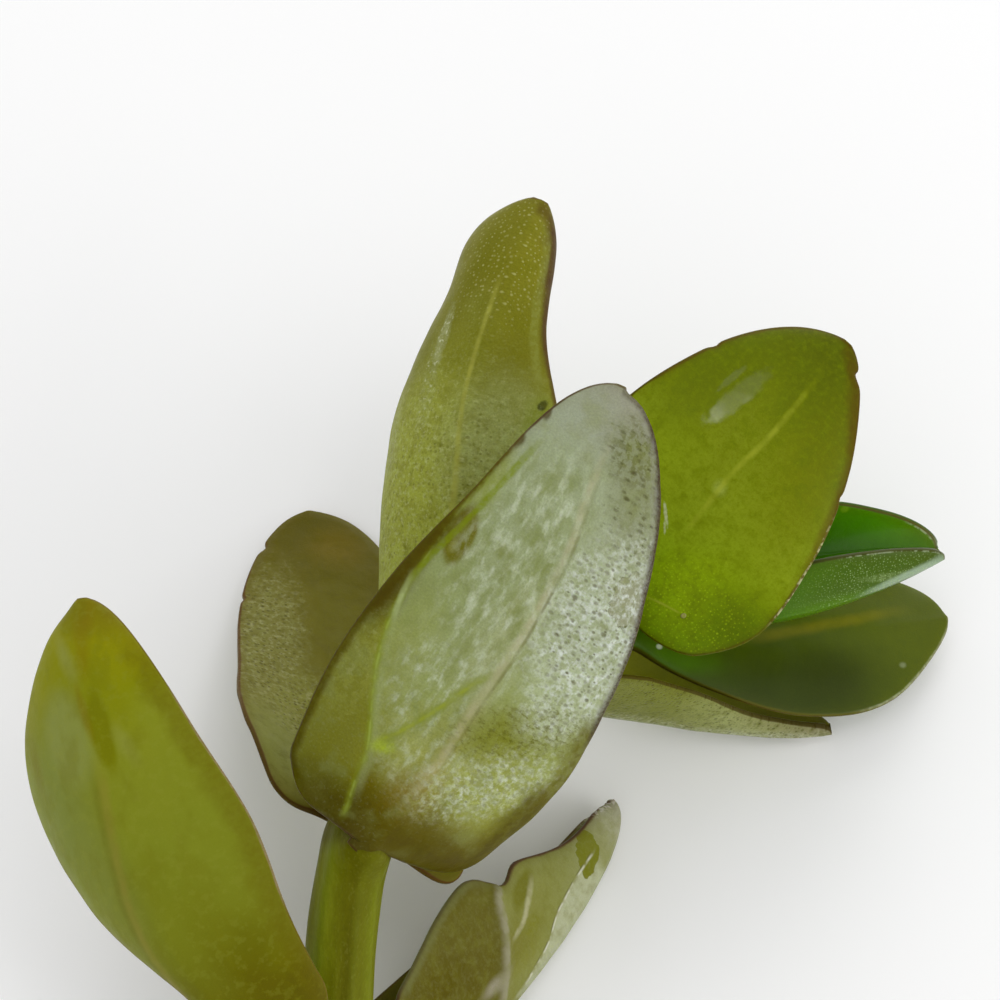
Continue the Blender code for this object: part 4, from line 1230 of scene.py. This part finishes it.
farTipLeaf = {
    "name": "leaf_tip_far", "node": "leaf_e_far", "slot": "leaf_young",
    "midrib": ((9.7, -1.8, 6.0), (12.9, -0.5, 5.6), (17.7, 0.3, 5.6), (20.9, -0.2, 6.0)),
    "face": ((0.0, -0.81, 0.59), (0.0, -0.81, 0.59)),
    "left": (2.0, 2.6, 3.0, 2.3, 1.6), "foldLeft": (10, 10, 10), "curlLeft": (20, 10, 0),
    "right": (1.6, 1.9, 2.3, 1.9, 1.2), "foldRight": (10, 10, 10), "curlRight": (20, 20, 20),
    "upper": {
        "tones": [(0.0, (50, 112, 8)), (0.5, (76, 134, 8)), (0.75, (86, 136, 10)), (1.0, (90, 122, 20))],
        "patches": [
            patch((0.72, 0.1), (0.9, 3.4), (52, 104, 6), 0.6, 0.7),
            patch((0.66, -0.6), (0.8, 2.0), (74, 140, 14), 0.6, 0.8),
            patch((0.6, -0.92), (0.16, 0.2), (130, 170, 40), 0.8, 0.5),
        ],
        "clouds": (0.15, (70, 134, 14)), "blotches": (0.12, (40, 100, 10)),
        "specks": (0.02, (120, 170, 60)),
        "rim": {"width": 0.07, "colour": (78, 74, 28)},
        "edges": [
            band("left", 0.55, 0.98, 0.06, (80, 72, 26), 0.8),
            # pale specks near the tip margin: painted glints
            band("left", 0.86, 1.0, 0.04, (176, 186, 150), 0.5, patchy=0.9, speck=0.25, inset=0.1),
        ],
        "rough": (0.24, 0.36), "shine": 0.1, "coat": 0.15, "seed": 16,
    },
    "under": nearTipLeaf["upper"],
}
makeLeaf(farTipLeaf)

lowerLeftLeaf = {
    "name": "leaf_low_left", "node": "leaf_a_left", "slot": "leaf_old",
    "midrib": ((-8.4, -28.1, 8.7), (-14.4, -26.5, 12.1), (-18.9, -17.5, 14.9), (-18.7, -8.4, 15.6)),
    "face": ((0.31, 0.56, -0.76), (0.30, 0.48, -0.83)),
    "left": (3.2, 4.8, 5.8, 4.7, 3.0), "foldLeft": (5, 5, 0), "curlLeft": (10, 10, 10),
    "right": (2.2, 1.3, 4.2, 5.4, 3.2), "foldRight": (10, 12, 10), "curlRight": (30, 40, 20),
    "bluntness": 8, "notches": [("right", 0.985, 0.30, 0.02)],
    "quilt": {"lift": 0.06, "size": 3.0, "seed": 5.5},
    "rib": {"under": 0.01, "upper": -0.02, "breadth": 0.2},
    "lines": [
        {
            "points": [
                (0.20, 0.92), (0.30, 0.70), (0.38, 0.42), (0.48, 0.18), (0.52, 0.10), (0.65, -0.02),
                (0.74, -0.04),
            ],
            "strokes": [
                stroke(0.1, 0.3, (138, 128, 54), 0.5, fade=0.2),
                stroke(0.08, 0.24, (100, 96, 26), 0.35, fade=0.2, offset=-0.34),
            ],
        },
    ],
    "upper": "oldUpper",
    "under": {
        "tones": [
            (0.0, (84, 78, 14)), (0.15, (98, 94, 18)), (0.35, (114, 118, 30)), (0.55, (124, 132, 38)),
            (0.72, (130, 137, 38)),
            (0.82, (130, 134, 20)), (0.92, (138, 137, 16)), (1.0, (118, 108, 22)),
        ],
        "patches": [
            patch((0.68, 0.55), (2.0, 3.4), (122, 132, 66), 0.7, 0.7),
            patch((0.5, 0.35), (1.3, 3.0), (122, 130, 62), 0.5, 0.8),
            patch((0.77, 0.22), (1.2, 2.2), (136, 144, 76), 0.75, turn=10, ragged=0.1),
            patch((0.9, 0.22), (0.3, 1.1), (146, 152, 84), 0.5, 0.9, turn=22, ragged=0.4),
            patch((0.76, -0.14), (0.5, 1.9), (114, 116, 8), 0.9, 0.3, turn=4, ragged=0.1),
            patch((0.8, 0.0), (0.16, 1.2), (124, 106, 20), 0.55, 0.7, turn=8),
            patch((0.725, -0.34), (0.3, 0.9), (144, 150, 74), 0.45, 0.9, turn=18, ragged=0.4),
            patch((0.955, -0.1), (0.4, 0.9), (122, 100, 24), 0.55, 0.9),
            patch((0.89, -0.06), (0.28, 0.8), (124, 106, 20), 0.5, 0.9),
            patch((0.75, 0.7), (0.35, 0.9), (116, 108, 34), 0.5, 0.9),
            patch((0.14, -0.3), (3.6, 3.2), (90, 82, 16), 0.6, 0.8),
        ],
        "mottles": [
            mottle(1.6, 0.35, (112, 112, 24), (0.48, 0.64), stretch=0.5),
            mottle(0.5, 0.18, (140, 146, 56), (0.5, 0.64)),
        ],
        "clouds": (0.14, (124, 130, 48)), "blotches": (0.06, (108, 108, 30)),
        "specks": (0.01, (136, 140, 60)),
        "rim": {"width": 0.06, "colour": (104, 84, 40), "glow": 0.15},
        "edges": [
            band("left", 0.05, 0.92, 1.0, (98, 88, 20), 0.5, patchy=0.2),
            band("left", 0.3, 0.8, 0.07, (150, 130, 110), 0.6, patchy=0.4),
            band("right", 0.05, 0.6, 0.5, (100, 90, 30), 0.35, patchy=0.2),
        ],
        "rough": (0.36, 0.48), "grain": 0.03, "fineLift": 0.0005, "seed": 10,
    },
}
makeLeaf(lowerLeftLeaf)

lowerRightLeaf = {
    "name": "leaf_low_right", "node": "leaf_a_right", "slot": "leaf_old",
    "midrib": ((-6.2, -27.0, 4.2), (-4.1, -29.4, 1.4), (7.2, -12.9, 0.0), (5.2, -11.4, 0.95)),
    "face": ((-0.57, 0.57, 0.59), (-0.91, 0.18, 0.37)),
    "left": (3.0, 4.4, 4.2, 2.6, 1.9), "foldLeft": (50, 50, 50), "curlLeft": (20, 20, 20),
    "right": (3.0, 5.2, 6.5, 2.7, 2.05), "foldRight": (50, 55, 50), "curlRight": (20, 20, 30),
    "notches": [("right", 0.565, 1.2, 0.034)],
    "quilt": {"lift": 0.05, "size": 2.4, "seed": 9.1},
    "rib": {"under": 0.0, "upper": -0.03, "breadth": 0.2},
    "lines": [
        {   # the crease between the basal flap and the rest; the fill paints shade over the flap and the pale stroke paints a highlight along the crease
            "points": [(0.555, 1.0), (0.53, 0.80), (0.51, 0.58), (0.47, 0.30), (0.42, 0.02)],
            "depth": -0.25, "breadth": 0.35, "fade": 0.05,
            "fills": [
                fill(1, 9.0, (84, 76, 16), 0.95, fade=0.02, soft=0.2),
            ],
            "strokes": [
                stroke(0.14, 0.28, (146, 142, 118), 0.8, fade=0.04, breaks=0.4),
            ],
        },
        {   # the branch beside it, with a pale stroke that paints a highlight
            "points": [(0.625, 0.82), (0.59, 0.70), (0.55, 0.54), (0.50, 0.40)],
            "depth": -0.06, "breadth": 0.2,
            "strokes": [
                stroke(0.12, 0.12, (172, 170, 134), 0.8, fade=0.2, breaks=0.4),
            ],
        },
        {   # where the blade turns down to the keel; a pale fill and a bright stroke paint the sheen of the turn, beside a dark line
            "points": [(0.46, 0.02), (0.52, 0.05), (0.57, 0.14), (0.62, 0.27), (0.69, 0.40), (0.78, 0.48)],
            "fills": [
                fill(1, 3.2, (182, 186, 158), 0.8, soft=0.15),
            ],
            "strokes": [
                stroke(0.05, 0.06, (208, 208, 188), 0.7, breaks=0.9),
                stroke(0.03, 0.04, (92, 92, 56), 0.7, breaks=0.9, offset=-0.09),
            ],
        },
    ],
    "upper": {
        "tones": [
            (0.0, (104, 100, 34)), (0.5, (112, 108, 48)), (0.85, (120, 118, 70)), (1.0, (150, 148, 120)),
        ],
        "clouds": (0.2, (126, 124, 70)), "blotches": (0.10, (94, 88, 34)),
        "specks": (0.06, (170, 168, 130)),
        "rim": {"width": 0.10, "colour": (84, 60, 40)},
        "edges": [
            # pale specks at the tip: painted glints
            band("left", 0.86, 1.0, 0.3, (196, 192, 176), 0.8, patchy=0.9, speck=0.2),
        ],
        "rough": (0.30, 0.42), "seed": 17,
    },
    "under": {
        "tones": [
            (0.0, (92, 86, 24)), (0.45, (112, 110, 44)), (0.56, (126, 128, 66)), (0.72, (132, 135, 80)),
            (0.9, (140, 141, 100)), (1.0, (128, 122, 104)),
        ],
        "patches": [
            patch((0.3, 0.6), (2.0, 4.0), (76, 66, 14), 0.6, 0.7),
            patch((0.585, 0.8), (0.42, 1.1), (104, 103, 22), 0.85, 0.35, turn=10),
            patch((0.56, 0.45), (0.4, 0.7), (116, 117, 34), 0.6, 0.5, patchy=0.6),
            patch((0.52, 0.2), (0.4, 1.2), (118, 118, 38), 0.5, 0.5, patchy=0.6),
            patch((0.755, 0.58), (0.7, 1.15), (104, 107, 8), 1.0, 0.05, turn=30, ragged=0.6, grain=1.0,
                  outline=(0.3, (168, 170, 140))),
            # a pale patch at the tip: painted sheen
            patch((0.93, 0.3), (1.5, 1.6), (166, 166, 146), 0.6, 0.6, patchy=0.4),
            patch((0.44, 0.25), (0.3, 0.9), (162, 156, 140), 0.7, 0.8),
        ],
        "mottles": [
            mottle(0.7, 0.35, (108, 108, 38), (0.42, 0.7)),
            mottle(0.28, 0.12, (148, 152, 104), (0.42, 0.74)),
        ],
        "clouds": (0.15, (140, 142, 92)), "blotches": (0.12, (112, 112, 50)),
        "specks": (0.02, (160, 164, 120)),
        "rim": {"width": 0.07, "colour": (88, 64, 48), "glow": 0.15},
        "edges": [
            band("right", 0.57, 0.93, 0.12, (88, 62, 50), 0.85, patchy=0.2),
            # white specks at the tip: painted glints
            band("right", 0.87, 1.0, 0.25, (206, 200, 190), 0.8, patchy=1.0, speck=0.2),
            band("right", 0.2, 0.54, 0.35, (112, 116, 74), 0.5, patchy=0.2),
        ],
        "rough": (0.34, 0.46), "seed": 13,
    },
}
makeLeaf(lowerRightLeaf)


stem = {
    "points": [
        (-8.3, -41.0, 1.64), (-7.5, -27.6, 6.5), (-6.3, -18.0, 10.8), (-2.1, -8.7, 9.6),
        (4.7, -4.3, 7.5), (9.0, -3.3, 7.0), (11.4, -2.9, 7.2),
    ],
    "radii": (1.66, 1.60, 1.50, 1.26, 1.06, 0.85, 0.68),
    "rings": 360, "sides": 108,
    "nodeLift": 0.08, "nodeLength": 0.9,
    # each ridge: its place around the stem in degrees, its height in mm and its breadth in degrees
    "ridges": [
        (122, 0.10, 13), (93, 0.02, 8), (62, 0.04, 9), (30, 0.06, 11), (352, 0.04, 12), (162, 0.03, 14),
        (208, 0.06, 14), (252, 0.06, 14), (300, 0.06, 14),
    ],
    # each socket swells towards the base of a leaf
    "socketSpare": 0.25, "socketLength": 0.85, "socketBreadth": 34,
    # tones around the stem: lighter and darker bands that paint the light and shade on its round sides
    "tones": [
        (0.0, (100, 104, 18)), (0.08, (106, 111, 22)), (0.15, (100, 102, 18)), (0.20, (88, 86, 12)),
        (0.26, (108, 110, 16)), (0.30, (124, 130, 24)), (0.34, (136, 148, 34)), (0.40, (124, 128, 26)),
        (0.46, (104, 104, 18)), (0.75, (92, 92, 18)), (1.0, (100, 104, 18)),
    ],
    # the first colour paints a highlight along the ridges, and the third is the stem's dark tone, which also
    # paints shade at the nodes
    "ridgeHighlight": (122, 132, 30), "speck": (136, 140, 60), "darkToneAndNodeShade": (66, 58, 8), "cut": (150, 156, 92),
    "rough": (0.36, 0.48), "shine": 0.04, "glow": 0.3, "lessBlue": 0.003,
}


def stemPiece():
    points = np.array(stem["points"])
    t = np.linspace(0, 1, stem["rings"])
    path = np.stack([throughMany(points[:, axis], t) for axis in range(3)], axis=1)
    plainRadius = throughMany(stem["radii"], t)
    radius = plainRadius
    nearness = np.zeros(len(t))
    for place in points[1:-1]:
        swelling = np.exp(-((np.linalg.norm(path - place, axis=1) / stem["nodeLength"]) ** 2))
        radius = radius + stem["nodeLift"] * swelling
        nearness = np.maximum(nearness, swelling)
    along = unit(np.gradient(path, axis=0))
    sideways = unit(np.cross(along, (0.0, 0.0, 1.0)))
    up = np.cross(sideways, along)
    angle = np.linspace(0, 2 * np.pi, stem["sides"], endpoint=False)
    passed = np.concatenate([[0], np.cumsum(np.linalg.norm(np.diff(path, axis=0), axis=1))])
    ridgeHighlight = np.zeros((len(t), len(angle)))
    lift = np.tile(radius[:, None], (1, len(angle)))
    for degrees, height, breadth in stem["ridges"]:
        middle = math.radians(degrees) + 0.05 * np.sin(passed * 0.35 + degrees)[:, None]
        away = (angle[None, :] - middle + np.pi) % (2 * np.pi) - np.pi
        ridge = np.exp(-((away / math.radians(breadth)) ** 2))
        lift = lift + height * ridge * (plainRadius / plainRadius[0])[:, None]
        ridgeHighlight = np.maximum(ridgeHighlight, ridge * height / 0.10)
    for base in leafBases:
        ring = int(np.argmin(np.linalg.norm(path - base, axis=1)))
        offset = np.array(base) - path[ring]
        offset = offset - (offset @ along[ring]) * along[ring]
        reach = np.linalg.norm(offset) - radius[ring] + stem["socketSpare"]
        towards = math.atan2(offset @ up[ring], offset @ sideways[ring])
        away = (angle[None, :] - towards + np.pi) % (2 * np.pi) - np.pi
        around = np.exp(-((away / math.radians(stem["socketBreadth"])) ** 2))
        ahead = (passed - passed[ring])[:, None] + 0.35
        lift = lift + max(reach, 0.15) * around * np.exp(-((ahead / stem["socketLength"]) ** 2))
    ringWay = np.cos(angle)[:, None] * sideways[:, None] + np.sin(angle)[:, None] * up[:, None]
    spread = ringWay * 1.6
    surface = np.stack(np.broadcast_arrays(spread[..., 0], spread[..., 2], 0.3 * passed[:, None]), axis=2)
    lift = lift + 0.035 * roughness3d(surface, 0.9, 3.3)
    verts = (path[:, None] + ringWay * lift[:, :, None]).reshape(-1, 3)
    rings, sides = stem["rings"], stem["sides"]
    capRings = 6
    cut, cutUp = path[0], -along[0]
    caps, capPlaces = [], []
    for step in range(1, capRings + 1):
        f = 1 - step / (capRings + 0.5)
        hollow = 0.10 * (1 - f**2) - 0.05 * math.exp(-(((f - 0.55) / 0.12) ** 2))
        caps.append(cut + (verts[:sides] - cut) * f - cutUp * hollow)
        capPlaces.append(np.stack([angle / (2 * np.pi), angle * 0 + f, angle * 0 + 1], axis=1))
    endCentre = path[-1] + along[-1] * 0.2
    capVerts = np.concatenate(caps + [[cut - cutUp * 0.1], endCentre[None]])
    start = len(verts)
    faces = []
    for r in range(rings - 1):
        for s in range(sides):
            a, b = r * sides + s, r * sides + (s + 1) % sides
            faces.append((a, a + sides, b + sides, b))
    inner = list(range(sides))
    for step in range(capRings):
        outer, inner = inner, list(range(start + step * sides, start + (step + 1) * sides))
        for s in range(sides):
            n = (s + 1) % sides
            faces.append((outer[s], outer[n], inner[n], inner[s]))
    centre = start + capRings * sides
    faces += [(inner[s], inner[(s + 1) % sides], centre) for s in range(sides)]
    last = (rings - 1) * sides
    faces += [(last + (s + 1) % sides, last + s, centre + 1) for s in range(sides)]
    # x is the place around the stem, y the height on a ridge, or on the cut the share of its radius,
    # and z marks the cut
    places = np.stack(np.broadcast_arrays(angle[None, :] / (2 * np.pi), ridgeHighlight, 0 * passed[:, None]), axis=2)
    nodes = np.stack(np.broadcast_arrays(nearness[:, None], passed[:, None], 0 * ridgeHighlight), axis=2)
    capCount = len(capVerts)
    attributes = {
        "stemPlace": np.concatenate([places.reshape(-1, 3), *capPlaces, [(0, 0, 1)], [(0, 0, 0)]]),
        "stemNode": np.concatenate([nodes.reshape(-1, 3), np.zeros((capCount, 3))]),
    }
    return meshFrom("stem_shoot", np.concatenate([verts, capVerts]), faces, attributes)


def stemSkin():
    material, tree, shader = newSkin("stem_skin", stem)
    place = attribute(tree, "stemPlace")[1]
    node = attribute(tree, "stemNode")[1]
    inMm = (1 / metresPerMm,) * 3
    spot = vectors(tree, "MULTIPLY", addNode(tree, "ShaderNodeTexCoord").outputs["Object"], inMm)
    streaks = vectors(tree, "MULTIPLY", spot, (1, 0.25, 1))
    cloud = useGroup(tree, groups["mottle"], {"Place": streaks, "Broad": 2.4, "Small": 0.5, "Speck": 0.12})
    around = compute(tree, "MULTIPLY_ADD", compute(tree, "SUBTRACT", cloud["Blotches"], 0.5), 0.02, place[0])
    # the tones around the stem paint the light and shade of its sides
    skin = {
        "colour": tonesAlong(tree, around, stem["tones"]),
        "rough": mixNumber(tree, cloud["Blotches"], *stem["rough"]),
        "coat": 0.0,
        "height": product(tree, cloud["Blotches"], 0.02),
    }
    # a painted highlight along the stem's ridges
    paint(tree, skin, place[1], 0.45, stem["ridgeHighlight"])
    paint(tree, skin, cloud["Clouds"], 0.25, stem["darkToneAndNodeShade"])
    # painted shade near the nodes, under the leaf bases
    paint(tree, skin, rise(tree, node[0], 0.15, 0.9), 0.6, stem["darkToneAndNodeShade"])
    paint(tree, skin, cloud["Specks"], 0.2, stem["speck"])
    cutTone = mixColour(tree, rise(tree, place[1], 0.75, 1.0), linear(*stem["cut"]), linear(*stem["darkToneAndNodeShade"]))
    skin["colour"] = mixColour(tree, place[2], skin["colour"], cutTone)
    fine = compute(tree, "MULTIPLY_ADD", cloud["Fine"], 0.14, 0.93)
    skin["colour"] = mixColour(tree, 1.0, skin["colour"], fine, "MULTIPLY")
    finishSkin(tree, shader, skin, stem)
    return material


stemObject = stemPiece()
stemObject.data.materials.append(stemSkin())
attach(stemObject, "root")
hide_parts("stem")
print("stem made")

bud = {
    "base": (11.9, -2.8, 7.25), "tip": (16.6, -2.2, 7.6), "radius": 0.62, "rings": 60, "sides": 48,
}


def budPiece():
    base, tip = np.array(bud["base"]), np.array(bud["tip"])
    along = unit(tip - base)
    sideways = unit(np.cross(along, (0.0, 0.0, 1.0)))
    up = np.cross(sideways, along)
    t = np.linspace(-0.12, 0.995, bud["rings"])
    shape = np.clip(t, 0, 1)
    radius = bud["radius"] * (0.55 + 0.9 * shape) * np.sqrt(np.clip(1 - shape**2.5, 0, 1))
    angle = np.linspace(0, 2 * np.pi, bud["sides"], endpoint=False)
    wrap = 1 - 0.10 * np.exp(-((np.sin(angle[None, :] - 0.9 * t[:, None]) / 0.16) ** 2))
    ring = np.cos(angle)[:, None] * sideways + np.sin(angle)[:, None] * up
    path = base + t[:, None] * (tip - base)
    verts = (path[:, None] + ring[None] * (radius[:, None] * wrap)[:, :, None]).reshape(-1, 3)
    rings, sides = bud["rings"], bud["sides"]
    faces = [tuple(range(sides)), tuple(reversed(range((rings - 1) * sides, rings * sides)))]
    for r in range(rings - 1):
        for s in range(sides):
            a, b = r * sides + s, r * sides + (s + 1) % sides
            faces.append((a, a + sides, b + sides, b))
    flat = np.stack(np.broadcast_arrays(angle[None, :] * 0.6, 4.7 * t[:, None], 1 + 0 * t[:, None]), axis=2)
    shares = np.stack(np.broadcast_arrays(t[:, None], np.sin(angle)[None, :], 0 * t[:, None]), axis=2)
    attributes = {"leafPlace": flat.reshape(-1, 3), "leafShare": shares.reshape(-1, 3)}
    return meshFrom("bud_tip", verts, faces, attributes)


budObject = budPiece()
budObject.data.materials.append(bpy.data.materials["leaf_tip_near_upper"])
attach(budObject, "root")
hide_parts("tip_bud")
print("bud made")

# Floor, light and camera.
studio = {
    "floorSize": 6.0, "floorHeight": -0.00003, "floorColour": (250, 250, 250),
    "skyStrength": 0.80,
    "lights": [
        {"name": "right", "at": (0.45, -0.21, 0.24), "size": (0.30, 0.30), "watts": 0.80},
        {"name": "back", "at": (0.11, 0.50, 0.24), "size": (0.30, 0.30), "watts": 0.80},
        {"name": "left_pane", "at": (0.100, -0.024, 0.385), "size": (0.10, 0.022), "watts": 0.022},
        {"name": "right_pane", "at": (0.131, -0.024, 0.375), "size": (0.085, 0.022), "watts": 0.020},
    ],
}


def makeStudio():
    size = studio["floorSize"]
    mesh = bpy.data.meshes.new("floor")
    corners = [(-size, -size), (size, -size), (size, size), (-size, size)]
    mesh.from_pydata([(x, y, studio["floorHeight"]) for x, y in corners], [], [(0, 1, 2, 3)])
    floor = bpy.data.objects.new("floor", mesh)
    bpy.context.scene.collection.objects.link(floor)
    material = bpy.data.materials.new("floor_paper")
    material.use_nodes = True
    shader = material.node_tree.nodes["Principled BSDF"]
    shader.inputs["Base Color"].default_value = linear(*studio["floorColour"])
    shader.inputs["Roughness"].default_value = 0.9
    shader.inputs["Specular IOR Level"].default_value = 0.1
    mesh.materials.append(material)
    world = bpy.data.worlds.new("studio")
    bpy.context.scene.world = world
    world.use_nodes = True
    sky = world.node_tree.nodes["Background"]
    sky.inputs["Color"].default_value = (1, 1, 1, 1)
    sky.inputs["Strength"].default_value = studio["skyStrength"]
    middle = Vector((0.0, 0.005, 0.01))
    for values in studio["lights"]:
        data = bpy.data.lights.new(values["name"], "AREA")
        data.shape = "RECTANGLE"
        data.size, data.size_y = values["size"]
        data.energy = values["watts"]
        lamp = bpy.data.objects.new(values["name"], data)
        lamp.location = values["at"]
        lamp.rotation_euler = (middle - lamp.location).to_track_quat("-Z", "Y").to_euler()
        bpy.context.scene.collection.objects.link(lamp)


view = {"elevation": 60.0, "lens": 150.0, "sensor": 36.0, "fieldMm": 47.0, "target": (0.0, 0.0, 10.0)}


def makeCamera():
    data = bpy.data.cameras.new("camera")
    data.lens, data.sensor_width = view["lens"], view["sensor"]
    data.clip_start, data.clip_end = 0.01, 20.0
    camera = bpy.data.objects.new("camera", data)
    bpy.context.scene.collection.objects.link(camera)
    elevation = math.radians(view["elevation"])
    away = view["fieldMm"] * view["lens"] / view["sensor"]
    back = np.array((0.0, -math.cos(elevation), math.sin(elevation)))
    place = (np.array(view["target"]) + back * away - plantMiddle) * metresPerMm
    camera.location = Vector(place)
    camera.rotation_euler = Vector(-back).to_track_quat("-Z", "Y").to_euler()
    bpy.context.scene.camera = camera


makeStudio()
makeCamera()
bpy.context.scene.view_settings.view_transform = "Standard"
print("studio made")
